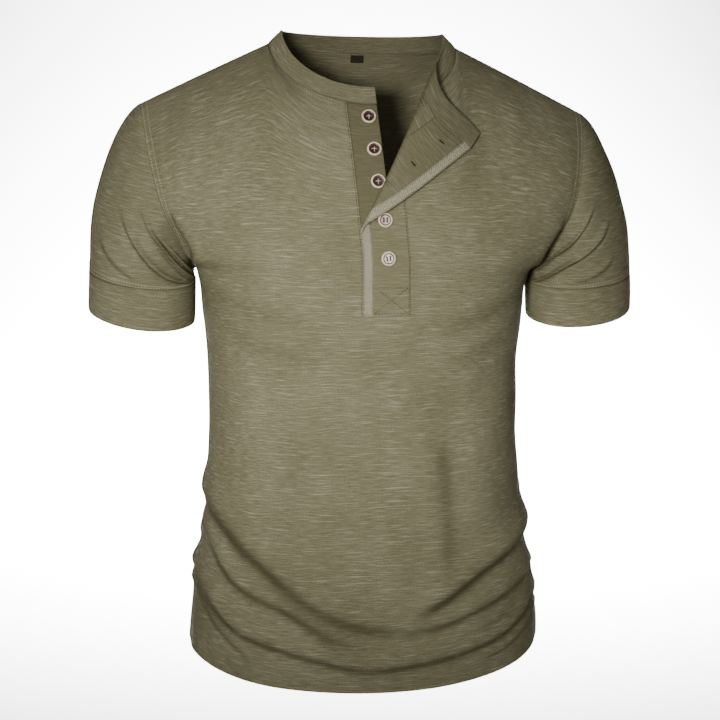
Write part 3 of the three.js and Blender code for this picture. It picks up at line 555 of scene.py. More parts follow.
def band_point(side, angle, up):
    neck = NECK[side]
    c, s = np.cos(angle), np.sin(angle)
    return points(
        s * (NECK_X + up * (BAND_TOP_X - NECK_X)),
        c * (neck["y"] + up * (neck["bandY"] - neck["y"])),
        c * (neck["z"] + up * (neck["bandZ"] - neck["z"])) + up * (1 - c) * BAND_TOP_Z,
    )


def band_lay(side, angle, up, rolled):
    angle, up = np.broadcast_arrays(np.asarray(angle, float), np.asarray(up, float))
    point = band_point(side, angle, up)
    aside = band_point(side, angle + 1e-3, up) - band_point(side, angle - 1e-3, up)
    normal = unit(np.cross(aside, band_point(side, angle, up + 1) - band_point(side, angle, up)))
    normal = -normal if side == "back" else normal
    return Lay(point, normal, rolled, smooth((math.pi / 2 - angle) / 0.6))


# Sleeves: the armhole they are set into, and the rings at their ends
def armhole_loop(hand):
    levels = np.linspace(UNDERARM_LEVEL, SEAM_LEVEL, 121)
    halves = []
    for side in ("front", "back"):
        path = body_point(side, float(hand), levels)
        path = path if side == "front" else path[::-1]
        length = np.concatenate([[0], np.cumsum(np.linalg.norm(np.diff(path, axis=0), axis=1))])
        halves.append((length / length[-1], path))

    def at(around):
        front = points(*[np.interp(around * 2, halves[0][0], halves[0][1][:, a]) for a in range(3)])
        back = points(*[np.interp(around * 2 - 1, halves[1][0], halves[1][1][:, a]) for a in range(3)])
        return np.where((around <= 0.5)[..., None], front, back)

    return at


LOOPS = {hand: armhole_loop(hand) for hand in (-1, 1)}
SLEEVE_TUCK = 0.7


def ring_point(ring, hand, around):
    a = 2 * math.pi * around
    return points(
        hand * (ring["x"] - ring["halfX"] * np.cos(a)),
        ring["y"] - ring["halfY"] * np.sin(a),
        ring["z"] - ring["tiltX"] * np.cos(a) - ring["tiltY"] * np.sin(a),
    )


def sleeve_point(hand, around, along):
    around, along = np.broadcast_arrays(np.asarray(around, float), np.asarray(along, float))
    around = around % 1.0
    a = 2 * math.pi * around
    lifted = np.sin(math.pi * around) ** 2
    leave = unit(points(hand * (0.62 + 0.22 * lifted), -0.3 * np.sin(a), -0.78 + 0.24 * lifted))
    start = LOOPS[hand](around) - leave * SLEEVE_TUCK
    first = start + leave * (9 + 26 * lifted)[..., None]
    end = ring_point(CUFF_TOP, hand, around)
    second = end + points(0 * a, 0 * a, 5 + 65 * lifted)
    t = along[..., None]
    u = 1 - t
    return u**3 * start + 3 * t * u * u * first + 3 * t * t * u * second + t**3 * end


def hem_band_point(hand, around, along):
    around, along = np.broadcast_arrays(np.asarray(around, float), np.asarray(along, float))
    top = ring_point(CUFF_TOP, hand, around) + np.array([0, 0, 0.2])
    return top + (ring_point(CUFF_FOOT, hand, around) - top) * along[..., None]


def tube_lay(point_at, hand, around, along, height, painted_shade=None):
    e = 1e-3
    round_way = point_at(hand, around + e, along) - point_at(hand, around - e, along)
    down = point_at(hand, around, np.minimum(along + e, 1))
    down = down - point_at(hand, around, np.maximum(along - e, 0))
    normal = unit(np.cross(down, round_way) * hand)
    return Lay(point_at(hand, around, along) + normal * height[..., None], normal, painted_shade=painted_shade)


def sleeve_lay(hand, around, along):
    around, along = np.broadcast_arrays(np.asarray(around, float), np.asarray(along, float))
    creases = [
        ([(a * SLEEVE_GIRTH, -l * SLEEVE_LENGTH) for a, l in marks], *rest)
        for marks, *rest in SLEEVE_CREASES[hand] + SLEEVE_BACK_CREASES
    ]
    height, painted_shade = crease_relief(creases, around % 1.0 * SLEEVE_GIRTH, -along * SLEEVE_LENGTH)
    here = sleeve_point(hand, around, along)
    height = height + unevenness(here[..., 2] + 40 * hand, here[..., 1], 31 + hand, 0.6)
    ends = smooth(along / 0.16) * smooth((1 - along) / 0.07)
    underarm = smooth(np.minimum(around % 1.0, 1 - around % 1.0) / 0.04)
    height = height * ends * (0.4 + 0.6 * underarm)
    height = height - 0.5 * np.exp(-((along * SLEEVE_LENGTH / 2.5) ** 2))
    height = height - 0.4 * np.exp(-(((1 - along) * SLEEVE_LENGTH / 2.0) ** 2))
    # Painted shade in the creases and in the grooves of the armhole and cuff seams
    painted_shade = np.maximum(painted_shade * ends, seam_shadow(along * SLEEVE_LENGTH))
    painted_shade = np.maximum(painted_shade, seam_shadow((1 - along) * SLEEVE_LENGTH))
    return tube_lay(sleeve_point, hand, around, along, height, painted_shade)


def hem_band_lay(hand, around, along):
    around, along = np.broadcast_arrays(np.asarray(around, float), np.asarray(along, float))
    here = hem_band_point(hand, around, along)
    wave = unevenness(here[..., 2], here[..., 1] + 60 * hand, 41 + hand, 0.5) * smooth(along / 0.3)
    # Painted shade in the groove of the seam at the hem band's top
    return tube_lay(hem_band_point, hand, around, along, wave + 0.4, seam_shadow(along * 40))


# Colours are sRGB hex, turned to linear here
def linear(hex_code):
    channels = [int(hex_code[i : i + 2], 16) / 255 for i in (1, 3, 5)]
    return [c / 12.92 if c <= 0.04045 else ((c + 0.055) / 1.055) ** 2.4 for c in channels] + [1.0]


# Adds one node, with its settings, its input values or links, and a ramp's stops
def put(tree, kind, inputs=None, ramp=None, **settings):
    node = tree.nodes.new(kind)
    for key, value in settings.items():
        setattr(node, key, value)
    for key, value in (inputs or {}).items():
        if isinstance(value, bpy.types.NodeSocket):
            tree.links.new(value, node.inputs[key])
        else:
            node.inputs[key].default_value = value
    if ramp:
        stops = node.color_ramp.elements
        while len(stops) < len(ramp):
            stops.new(0.5)
        for stop, (place, color) in zip(stops, ramp):
            stop.position = place
            stop.color = color
    return node


# A value times a factor, added to the rest
def added(tree, value, factor, rest):
    return put(tree, "ShaderNodeMath", {0: value, 1: factor, 2: rest}, operation="MULTIPLY_ADD").outputs[0]


def new_material(name):
    material = bpy.data.materials.new(name)
    material.use_nodes = True
    tree = material.node_tree
    tree.nodes.clear()
    shader = put(tree, "ShaderNodeBsdfPrincipled")
    put(tree, "ShaderNodeOutputMaterial", {"Surface": shader.outputs[0]})
    return material, tree, shader


# At this scale a wave texture repeats once in each unit
ONE_WAVE = 0.314


# Slub cotton single jersey, garment dyed: uneven yarn leaves fine pale and dark dashes along the
# courses, the face is matt, and painted shade darkens it down in the creases, at the seams and on the inner
# face
def slub_jersey(name, dark, mid, light):
    material, tree, shader = new_material(name)
    uv = put(tree, "ShaderNodeUVMap", uv_map="cloth")
    mm = put(tree, "ShaderNodeMapping", {"Vector": uv.outputs[0], "Scale": (1000, 1000, 1000)})
    sway = put(tree, "ShaderNodeTexNoise", {"Vector": mm.outputs[0], "Scale": 0.016, "Detail": 1.0})
    drift = put(
        tree, "ShaderNodeVectorMath", {0: sway.outputs["Color"], 1: (0.0, 6.0, 0.0)}, operation="MULTIPLY"
    )
    place = put(tree, "ShaderNodeVectorMath", {0: mm.outputs[0], 1: drift.outputs[0]}, operation="ADD")
    # Real slubs are 0.6 mm thick and 10 to 60 mm long. They are drawn 1 to 1.7 mm thick to show,
    # over a short grain of loops
    layers = []
    for length, thick, detail in ((13, 1.0, 3.0), (38, 1.7, 2.0), (1.8, 0.8, 2.0)):
        stretched = put(
            tree, "ShaderNodeMapping", {"Vector": place.outputs[0], "Scale": (1 / length, 1 / thick, 1)}
        )
        layers.append(
            put(tree, "ShaderNodeTexNoise", {"Vector": stretched.outputs[0], "Scale": 1.0, "Detail": detail})
        )
    thin_yarn, thick_yarn, fuzz = layers
    patch = put(tree, "ShaderNodeTexNoise", {"Vector": mm.outputs[0], "Scale": 0.012, "Detail": 2.0})
    slub = put(tree, "ShaderNodeMapRange", {0: thick_yarn.outputs[0], 1: 0.55, 2: 0.72, 3: 0.0, 4: 0.17})
    yarns = added(tree, thin_yarn.outputs[0], 0.50, slub.outputs[0])
    surface = added(tree, fuzz.outputs[0], 0.30, yarns)
    dyed = added(tree, patch.outputs[0], 0.22, surface)
    tone = put(
        tree,
        "ShaderNodeValToRGB",
        {0: dyed},
        ramp=[(0.24, linear(dark)), (0.53, linear(mid)), (0.83, linear(light))],
    )
    # Painted shade: a per-point attribute darkens the tone towards a deep olive, up to 60 %, in creases, at
    # seams and on the inner face
    crease = put(tree, "ShaderNodeAttribute", attribute_name="painted_shade")
    painted_shade_strength = put(tree, "ShaderNodeMapRange", {0: crease.outputs["Fac"], 1: 0.0, 2: 1.0, 3: 0.0, 4: 0.6})
    tint = put(tree, "ShaderNodeMixRGB", {0: painted_shade_strength.outputs[0], 1: tone.outputs[0], 2: linear("#423d28")})
    wales = put(
        tree,
        "ShaderNodeTexWave",
        {"Vector": mm.outputs[0], "Scale": ONE_WAVE / 1.6, "Distortion": 1.5, "Detail": 1.0},
        bands_direction="X",
    )
    relief = added(tree, wales.outputs["Fac"], 0.12, surface)
    bump = put(tree, "ShaderNodeBump", {"Strength": 0.45, "Distance": 0.0006, "Height": relief})
    tree.links.new(tint.outputs[0], shader.inputs["Base Color"])
    tree.links.new(bump.outputs[0], shader.inputs["Normal"])
    shader.inputs["Roughness"].default_value = 0.92
    shader.inputs["Specular IOR Level"].default_value = 0.06
    return material


# Cotton twill tape: pale, with diagonal ribs. Ribs are 0.8 mm apart, drawn at 1.7 mm to show
def twill_tape(name, dark, light):
    material, tree, shader = new_material(name)
    uv = put(tree, "ShaderNodeUVMap", uv_map="cloth")
    mm = put(
        tree,
        "ShaderNodeMapping",
        {"Vector": uv.outputs[0], "Rotation": (0, 0, math.radians(38)), "Scale": (1000, 1000, 1000)},
    )
    ribs = put(
        tree,
        "ShaderNodeTexWave",
        {"Vector": mm.outputs[0], "Scale": ONE_WAVE / 1.7, "Distortion": 0.8, "Detail": 1.0},
        bands_direction="X",
    )
    fleck = put(tree, "ShaderNodeTexNoise", {"Vector": mm.outputs[0], "Scale": 0.5, "Detail": 2.0})
    mixed = added(tree, ribs.outputs["Fac"], 0.35, fleck.outputs[0])
    tone = put(tree, "ShaderNodeValToRGB", {0: mixed}, ramp=[(0.35, linear(dark)), (0.95, linear(light))])
    bump = put(tree, "ShaderNodeBump", {"Strength": 0.4, "Distance": 0.0004, "Height": mixed})
    tree.links.new(tone.outputs[0], shader.inputs["Base Color"])
    tree.links.new(bump.outputs[0], shader.inputs["Normal"])
    shader.inputs["Roughness"].default_value = 0.9
    shader.inputs["Specular IOR Level"].default_value = 0.15
    return material


# Cast polyester resin: a horn look, clouded through and lightly polished
def cast_resin(name, dark, light):
    material, tree, shader = new_material(name)
    place = put(tree, "ShaderNodeTexCoord")
    spot = {"Vector": place.outputs["Object"], "Scale": 420.0, "Detail": 3.0}
    cloud = put(tree, "ShaderNodeTexNoise", spot)
    stops = [(0.35, linear(dark)), (0.65, linear(light))]
    tone = put(tree, "ShaderNodeValToRGB", {0: cloud.outputs[0]}, ramp=stops)
    bump = put(tree, "ShaderNodeBump", {"Strength": 0.15, "Distance": 0.0002, "Height": cloud.outputs[0]})
    tree.links.new(tone.outputs[0], shader.inputs["Base Color"])
    tree.links.new(bump.outputs[0], shader.inputs["Normal"])
    shader.inputs["Roughness"].default_value = 0.4
    shader.inputs["IOR"].default_value = 1.55
    return material


# Spun polyester sewing thread: two twisted plies, hardly glossy
def spun_thread(name, dark, light):
    material, tree, shader = new_material(name)
    place = put(tree, "ShaderNodeTexCoord")
    ply = put(tree, "ShaderNodeTexNoise", {"Vector": place.outputs["Object"], "Scale": 900.0, "Detail": 1.0})
    stops = [(0.35, linear(dark)), (0.65, linear(light))]
    tone = put(tree, "ShaderNodeValToRGB", {0: ply.outputs[0]}, ramp=stops)
    tree.links.new(tone.outputs[0], shader.inputs["Base Color"])
    shader.inputs["Roughness"].default_value = 0.75
    shader.inputs["Specular IOR Level"].default_value = 0.25
    return material


JERSEY = slub_jersey("slub_jersey_olive", "#534e38", "#7a765c", "#a9a48d")
FACED_JERSEY = slub_jersey("slub_jersey_faced_olive", "#5c5740", "#79755b", "#9a957d")
# A darker, flatter copy of the jersey: painted shade for the strip tucked under the overlap
SHADED_TUCKED_JERSEY = slub_jersey("slub_jersey_tucked_shaded_olive", "#565139", "#67624a", "#7a755c")
TAPE = twill_tape("cotton_twill_tape_pale", "#77725a", "#aca78f")
THREAD = spun_thread("thread_olive_dark", "#2f2a1b", "#48422e")
PALE_THREAD = spun_thread("thread_olive_pale", "#8f896c", "#aba58a")
HOLE_THREAD = spun_thread("thread_buttonhole", "#5d573f", "#7a745a")
BROWN_THREAD = spun_thread("thread_brown", "#1c1009", "#34200f")
BUTTON_THREAD = spun_thread("thread_button", "#b8a68c", "#dccdb6")
RIM = cast_resin("cast_resin_cream_rim", "#cfc0a2", "#f2e7cf")
BROWN = cast_resin("cast_resin_red_brown", "#4a1c12", "#7c3526")
ROSE = cast_resin("cast_resin_rose", "#b79c8c", "#dccabb")
CREAM = cast_resin("cast_resin_cream", "#d6cab4", "#f2ebdc")
RING_BROWN = cast_resin("cast_resin_ring_brown", "#4a2216", "#6e3c2a")
# Painted shade: a near-black resin for the walls of the buttons' thread holes
HOLE_SHADE = cast_resin("cast_resin_hole_shade", "#1c0d08", "#2c1610")
# Dark label tape; the same material paints the shade in the buttonhole slits
LABEL_AND_SLIT_SHADE = twill_tape("woven_label_tape_and_slit_shade_dark", "#1d1a15", "#34302a")


def make_object(name, vertices, faces, material, uvs=None, painted_shade=None, sharp=50):
    mesh = bpy.data.meshes.new(name)
    mesh.from_pydata(np.asarray(vertices).tolist(), [], faces)
    if uvs is not None:
        layer = mesh.uv_layers.new(name="cloth")
        layer.data.foreach_set("uv", np.asarray(uvs, np.float32).ravel())
    if painted_shade is not None:
        attribute = mesh.attributes.new("painted_shade", "FLOAT", "POINT")
        attribute.data.foreach_set("value", np.asarray(painted_shade, np.float32))
    mesh.materials.append(material)
    mesh.shade_smooth()
    mesh.set_sharp_from_angle(angle=math.radians(sharp))
    piece = bpy.data.objects.new(name, mesh)
    bpy.context.scene.collection.objects.link(piece)
    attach(piece, "root")
    return piece


# The jersey's inner face is painted darker: painted shade for the inside of the shirt
INNER_FACE_PAINTED_SHADE = 0.42


# One piece of cloth with an outer and an inner face and its cut edges
def cloth(name, lay, outside, inside, uv, material, around=False, present=None):
    outer, inner = lay.at(outside), lay.at(inside)
    rows, corners = outer.shape[0] - 1, outer.shape[1]
    columns = corners if around else corners - 1
    if present is None:
        present = np.ones((rows, columns), bool)
    i, j = np.nonzero(present)
    after = (j + 1) % corners
    count = outer.shape[0] * corners
    a, b = i * corners + j, i * corners + after
    d, c = a + corners, b + corners
    ua, ub, uc, ud = uv[i, j], uv[i, j + 1], uv[i + 1, j + 1], uv[i + 1, j]
    faces = [np.stack([a, b, c, d], 1), np.stack([d, c, b, a], 1) + count]
    corner_uvs = [np.stack([ua, ub, uc, ud], 1), np.stack([ud, uc, ub, ua], 1)]
    open_below, open_above = np.ones_like(present), np.ones_like(present)
    open_below[1:] = ~present[:-1]
    open_above[:-1] = ~present[1:]
    open_left, open_right = ~np.roll(present, 1, 1), ~np.roll(present, -1, 1)
    if not around:
        open_left[:, 0] = True
        open_right[:, -1] = True
    edges = [
        (open_below, a, b, ua, ub),
        (open_right, b, c, ub, uc),
        (open_above, c, d, uc, ud),
        (open_left, d, a, ud, ua),
    ]
    for gap, p, q, up, uq in edges:
        at = gap[i, j]
        faces.append(np.stack([q[at], p[at], p[at] + count, q[at] + count], 1))
        corner_uvs.append(np.stack([uq[at], up[at], up[at], uq[at]], 1))
    faces, corner_uvs = np.concatenate(faces), np.concatenate(corner_uvs)
    vertices = np.concatenate([outer.reshape(-1, 3), inner.reshape(-1, 3)]) * MM
    v0, v1, v2, v3 = (vertices[faces[:, k]] for k in range(4))
    volume = np.einsum("ij,ij->", v0, np.cross(v1, v2)) + np.einsum("ij,ij->", v0, np.cross(v2, v3))
    if volume < 0:
        faces, corner_uvs = faces[:, ::-1], corner_uvs[:, ::-1]
    used = np.unique(faces)
    index = np.zeros(len(vertices), int)
    index[used] = np.arange(len(used))
    # Painted shade: the whole inner face is darkened, more along the neckband's seam
    reverse = np.maximum(lay.painted_shade * 0 + INNER_FACE_PAINTED_SHADE, lay.reverse)
    painted_shade = np.concatenate([lay.painted_shade.ravel(), reverse.ravel()])[used]
    return make_object(name, vertices[used], index[faces].tolist(), material, corner_uvs * MM, painted_shade)


FRONT_ROWS = [124, 36, 62]
FRONT_COLUMNS = [42, 34, 20, 34, 24, 42]


def make_front():
    levels = divided([0, FOOT_LEVEL, TOP_LEVEL, SEAM_LEVEL], FRONT_ROWS)
    z = body_point("front", 0 * levels, levels)[:, 2]
    middle = placket_middle(z)
    bend = np.maximum(middle + PLACKET_HALF + 14, roll_x(z) + 2)
    lines = [middle - PLACKET_HALF, middle + PLACKET_HALF, bend]
    left, right, bend = (across_at_x("front", x, levels) for x in lines)
    across = []
    for row in range(len(levels)):
        marks = [-1, -NECK_SHARE, left[row], right[row], bend[row], NECK_SHARE, 1]
        across.append(divided(marks, FRONT_COLUMNS))
    across = np.stack(across)
    level = np.repeat(levels[:, None], across.shape[1], 1)
    slit = slice(sum(FRONT_COLUMNS[:2]), sum(FRONT_COLUMNS[:3]))
    rolled = np.zeros(across.shape, bool)
    rolled[FRONT_ROWS[0] + 1 :, slit.stop :] = True
    present = np.ones((len(levels) - 1, across.shape[1] - 1), bool)
    present[FRONT_ROWS[0] :, slit] = False
    lay = body_lay("front", across, level, rolled)
    uv = np.stack([across * HALF_GIRTH, cloth_length("front", level)], -1)
    return cloth("front_panel", lay, 0.0, -WALL, uv, JERSEY, present=present)


def make_back():
    levels = divided([0, UNDERARM_LEVEL, TOP_LEVEL, SEAM_LEVEL], [135, 30, 50])
    across = divided([-1, -NECK_SHARE, NECK_SHARE, 1], [46, 96, 46])
    level, across = np.meshgrid(levels, across, indexing="ij")
    uv = np.stack([across * HALF_GIRTH + 900, cloth_length("back", level)], -1)
    return cloth("back_panel", body_lay("back", across, level), 0.0, -WALL, uv, JERSEY)


SLEEVE_ROWS = 92
SLEEVE_HEM_ROWS = 20
ROUND_SLEEVE = 190


def sleeve_grid(rows, columns):
    return np.meshgrid(np.linspace(0, 1, rows), np.arange(columns) / ROUND_SLEEVE, indexing="ij")


def make_sleeve(hand, name):
    along, around = sleeve_grid(SLEEVE_ROWS, ROUND_SLEEVE)
    uv_around = sleeve_grid(SLEEVE_ROWS, ROUND_SLEEVE + 1)[1]
    lengths = np.linalg.norm(np.diff(sleeve_point(hand, around, along), axis=0), axis=-1)
    from_cuff = np.concatenate([np.cumsum(lengths[::-1], 0)[::-1], 0 * lengths[:1]])
    from_cuff = np.concatenate([from_cuff, from_cuff[:, :1]], 1)
    uv = np.stack([uv_around * 400 + 2000 + 700 * hand, from_cuff], -1)
    return cloth(name, sleeve_lay(hand, around, along), 0.0, -WALL, uv, JERSEY, around=True)


def make_hem_band(hand, name):
    along, around = sleeve_grid(SLEEVE_HEM_ROWS, ROUND_SLEEVE)
    uv_along, uv_around = sleeve_grid(SLEEVE_HEM_ROWS, ROUND_SLEEVE + 1)
    uv = np.stack([uv_around * 370 + 3900 + 700 * hand, uv_along * 40], -1)
    pinch = 0.4 * np.exp(-(((1 - along) * 40 / 1.5) ** 2)) + 0.4 * np.exp(-((along * 40 / 1.5) ** 2))
    return cloth(name, hem_band_lay(hand, around, along), -pinch, pinch - HEM_WALL, uv, JERSEY, around=True)


# The neckband is walked from the button side round the back to the turned-out end
def make_neckband():
    middle = placket_middle(-53.0)
    ends = [middle + UNDER_EDGE, middle - PLACKET_HALF + SIDE_JOIN]
    first, last = (float(across_at_x("front", x, SEAM_LEVEL)) / NECK_SHARE * math.pi / 2 for x in ends)
    quarter = math.pi / 2
    up = np.linspace(-0.04, 1, 16)
    lays = []
    walk = [("front", first, -quarter, 70), ("back", -quarter, quarter, 120), ("front", quarter, last, 150)]
    for part, (side, start, end, count) in enumerate(walk):
        angles = np.linspace(start, end, count + 1)[0 if part == 0 else 1 :]
        angle, rise = np.meshgrid(angles, up)
        lays.append(band_lay(side, angle, rise, part == 2))
    point, normal, rolled = (
        np.concatenate([getattr(lay, part) for lay in lays], 1) for part in ("point", "normal", "rolled")
    )
    ease = np.concatenate([np.broadcast_to(lay.ease, lay.point.shape[:-1]) for lay in lays], 1)
    lay = Lay(point, normal, rolled, ease)
    base = lay.point[0]
    length = np.concatenate([[0], np.cumsum(np.linalg.norm(np.diff(base, axis=0), axis=1))])
    uv = np.stack(np.meshgrid(length + 6000, up * BAND_HEIGHT), -1)
    rise = np.repeat(up[:, None], len(base), 1) * BAND_HEIGHT
    crown = 0.35 * np.exp(-(((BAND_HEIGHT - rise) / 1.2) ** 2)) + 0.4 * np.exp(-((rise / 1.5) ** 2))
    # Painted shade along the seam at the band's foot, on both faces
    lay.painted_shade = seam_shadow(rise)
    lay.reverse = seam_shadow(rise)
    return cloth("neckband", lay, 0.2 - crown, 0.2 - BAND_WALL + crown, uv, JERSEY)


def make_strip(name, start, end, columns, low, outside, inside, rolled, material):
    levels = divided([low, TOP_LEVEL - 0.6, SEAM_LEVEL], [26, 110])
    level, offset = np.meshgrid(levels, np.linspace(start, end, columns + 1), indexing="ij")
    edge = np.minimum(offset - start, end - offset)
    crown = 0.25 * np.exp(-((edge / 0.8) ** 2))
    uv = np.stack([offset + 8000 + 100 * columns, cloth_length("front", level)], -1)
    return cloth(name, placket_lay(offset, level, rolled), outside - crown, inside + crown, uv, material)


def make_label():
    low, high = float(level_at_z("back", -23)), float(level_at_z("back", -15))
    level, x = np.meshgrid(np.linspace(low, high, 14), np.linspace(-6, 8, 24), indexing="ij")
    lay = body_lay("back", across_at_x("back", x, level), level)
    lift = -WALL - BUTTON_CLEAR
    uv = np.stack([x, cloth_length("back", level)], -1)
    return cloth("neck_label_bare", lay, lift, lift - LABEL_WALL, uv, LABEL_AND_SLIT_SHADE)


# Sewing: rows of single thread stitches laid along a path on the cloth
class Seams:
    def __init__(self):
        self.vertices = []
        self.faces = []

    def sew(self, lay, lift=0.0, stitch=2.5, gap=0.6, width=0.6, rise=0.25):
        path, out = lay.face()
        path = path + out * lift
        length = np.concatenate([[0], np.cumsum(np.linalg.norm(np.diff(path, axis=0), axis=1))])
        starts = np.arange(0.6, length[-1] - stitch, stitch + gap)

        def place(at, values):
            return np.stack([np.interp(at, length, values[:, k]) for k in range(3)], -1)

        first, last = place(starts, path), place(starts + stitch, path)
        lift_way = unit(place(starts + stitch / 2, out))
        side = unit(np.cross(unit(last - first), lift_way)) * width / 2
        top = lift_way * rise
        middle, quarter = (first + last) / 2, (last - first) * 0.28
        corners = []
        for centre in (middle - quarter, middle + quarter):
            corners += [centre + side, centre + top, centre - side, centre - top]
        corners += [first - top * 0.6, last - top * 0.6]
        base = len(self.vertices)
        self.vertices.extend(np.stack(corners, 1).reshape(-1, 3))
        for k in range(len(starts)):
            at = base + 10 * k
            for n in range(4):
                m = (n + 1) % 4
                self.faces.append([at + n, at + m, at + 4 + m, at + 4 + n])
                self.faces.append([at + 8, at + m, at + n])
                self.faces.append([at + 9, at + 4 + n, at + 4 + m])

    def finish(self, name, thread):
        return make_object(name, np.array(self.vertices) * MM, self.faces, thread, sharp=80)


# How far each row of stitches lies from its seam
NECK_NEEDLES = (2.0, 6.5)
ARMHOLE_NEEDLES = (1.6, 6.6)
CUFF_NEEDLES = (1.6, 5.0)


def sew_sleeve(hand, name):
    seams = Seams()
    around = np.linspace(0.0, 1.0, 320)
    for from_end in CUFF_NEEDLES:
        row = sleeve_lay(hand, around, np.full_like(around, 1 - from_end / SLEEVE_LENGTH))
        seams.sew(row, 0.1, width=0.8, rise=0.35)
    return seams.finish(name, PALE_THREAD)


def sew_body():
    pale, dark = Seams(), Seams()
    # Two rows below the neckband. On the turned-out corner they show inside, in dark thread
    for drop in NECK_NEEDLES:
        level = SEAM_LEVEL - drop / YOKE_RISE
        spans = [("front", -NECK_SHARE, -0.105, False), ("back", -NECK_SHARE, NECK_SHARE, False)]
        spans.append(("front", 0.105, NECK_SHARE, True))
        for side, low, high, rolled in spans:
            across = np.linspace(low, high, 220)
            row = body_lay(side, across, np.full_like(across, level), rolled)
            pale.sew(row, 0.1, width=0.8, rise=0.35)
            if rolled:
                dark.sew(row, -WALL - 0.1, width=0.9, rise=-0.4)
        row = placket_lay(np.linspace(-PLACKET_HALF + 1, PLACKET_HALF + 1, 90), level, True)
        dark.sew(row, -WALL - 0.1, width=0.9, rise=-0.4)
    # Two rows on the body beside each armhole
    levels = np.linspace(UNDERARM_LEVEL + 0.15, SEAM_LEVEL - 0.01, 200)
    for side in ("front", "back"):
        for hand in (-1, 1):
            wide_here = body_point(side, hand * 1.0, levels) - body_point(side, hand * 0.98, levels)
            for from_seam in ARMHOLE_NEEDLES:
                step = 0.02 * from_seam / np.linalg.norm(wide_here, axis=1)
                pale.sew(body_lay(side, hand * (1 - step), levels), 0.1, width=0.9, rise=0.4)
    # The overlap's sewn edge, both edges of the tape, and the strip behind
    levels = np.linspace(FOOT_LEVEL, SEAM_LEVEL - 0.01, 200)
    dark.sew(placket_lay(np.full_like(levels, PLACKET_HALF - 1.6), levels, True), 0.05, rise=0.15)
    for offset in (-PLACKET_HALF + 1.2, -PLACKET_HALF + BINDING_WIDTH - 1.2):
        row = placket_lay(np.full_like(levels, offset), levels, True)
        dark.sew(row, 0.5, width=0.5, rise=0.15)
        dark.sew(row, -WALL - 0.3, width=0.5, rise=-0.15)
    dark.sew(placket_lay(np.full_like(levels, -PLACKET_HALF - 1.8), levels, False), 0.1)
    # The box at the foot, with its two diagonals
    low, high = (float(level_at_z("front", PLACKET_FOOT_Z + up)) for up in (1.5, 28.5))
    across_box = np.linspace(-PLACKET_HALF + BINDING_WIDTH + 1, PLACKET_HALF - 2, 60)
    for start, end in ((low, low), (high, high), (low, high), (high, low)):
        dark.sew(placket_lay(across_box, np.linspace(start, end, 60), True), 0.05, rise=0.15)
    for start in (low, high):
        tape_end = np.linspace(-PLACKET_HALF + 1, -PLACKET_HALF + BINDING_WIDTH, 20)
        dark.sew(placket_lay(tape_end, np.full_like(tape_end, start), True), 0.5, rise=0.15)
    return pale.finish("seam_stitching", PALE_THREAD), dark.finish("placket_stitching", THREAD)


# Buttonholes: height, half the open slit, half the thread's length
BUTTONHOLES = [(-65, 3.4, 6.5), (-96, 3.4, 6.5), (-127, 0.5, 6.5), (-165, 0.5, 8.5), (-203.5, 0.5, 8.5)]


def make_buttonholes():
    vertices, faces, slit_vertices, slit_faces = [], [], [], []
    for z, slit, reach in BUTTONHOLES:
        level = float(level_at_z("front", z))
        for face, way in ((0.0, 1.0), (-WALL, -1.0)):
            count = int(reach * 2 / 0.65)
            start = -reach + 2 * reach * np.arange(count) / count
            for lean in (-1, 1):
                rows = []
                for aside, rise in ((0.5, 0.05), (1.9, 0.05), (1.2, 0.45)):
                    at = np.full(count, level + lean * aside / YOKE_RISE)
                    for shift in (0.0, 0.55):
                        rows.append(placket_lay(start + shift, at, True).at(face + way * rise))
                base = len(vertices)
                vertices.extend(np.stack(rows, 1).reshape(-1, 3))
                for k in range(count):
                    n = base + 6 * k
                    faces += [[n, n + 1, n + 5, n + 4], [n + 4, n + 5, n + 3, n + 2]]
                    faces += [[n, n + 4, n + 2], [n + 1, n + 3, n + 5], [n, n + 2, n + 3, n + 1]]
            # Each slit is a thin dark sheet over the opening: painted shade of the hole
            offsets = np.linspace(-slit, slit, 13)
            open_by = 0.75 * np.sqrt(np.maximum(1 - (offsets / (slit * 1.02)) ** 2, 0)) / YOKE_RISE
            base = len(slit_vertices)
            for lean in (-1, 1):
                lip = placket_lay(offsets, level + lean * open_by, True)
                slit_vertices.extend(lip.at(face + way * 0.12))
            for k in range(12):
                slit_faces.append([base + k, base + k + 1, base + 14 + k, base + 13 + k])
    holes = make_object("buttonhole_thread", np.array(vertices) * MM, faces, HOLE_THREAD, sharp=30)
    slit_shade = make_object("buttonhole_slit_shade", np.array(slit_vertices) * MM, slit_faces, LABEL_AND_SLIT_SHADE, sharp=30)
    return holes, slit_shade


# A button's turned profile: radius, height and whether it is rim (0), ring (1) or middle (2)
BUTTON_PROFILE = [
    (0.0, 0.0, 0), (5.4, 0.0, 0), (6.9, 0.5, 0), (7.45, 1.2, 0), (7.4, 1.9, 0), (7.0, 2.5, 0),
    (6.5, 2.78, 0), (6.0, 2.72, 0), (5.6, 2.4, 0), (5.2, 1.95, 1), (4.5, 1.75, 1), (4.2, 1.72, 2),
    (3.0, 1.66, 2), (1.5, 1.63, 2), (0.0, 1.62, 2),
]
BUTTON_SIDES = 56
HOLE_SPREAD = 1.8
HOLE_RADIUS = 1.0


def loose_object(name, vertices, faces, materials, zones=None):
    mesh = bpy.data.meshes.new(name)
    mesh.from_pydata((np.array(vertices) * MM).tolist(), [], faces)
    for m in materials:
        mesh.materials.append(m)
    if zones:
        mesh.polygons.foreach_set("material_index", zones)
    piece = bpy.data.objects.new(name, mesh)
    bpy.context.scene.collection.objects.link(piece)
    return piece


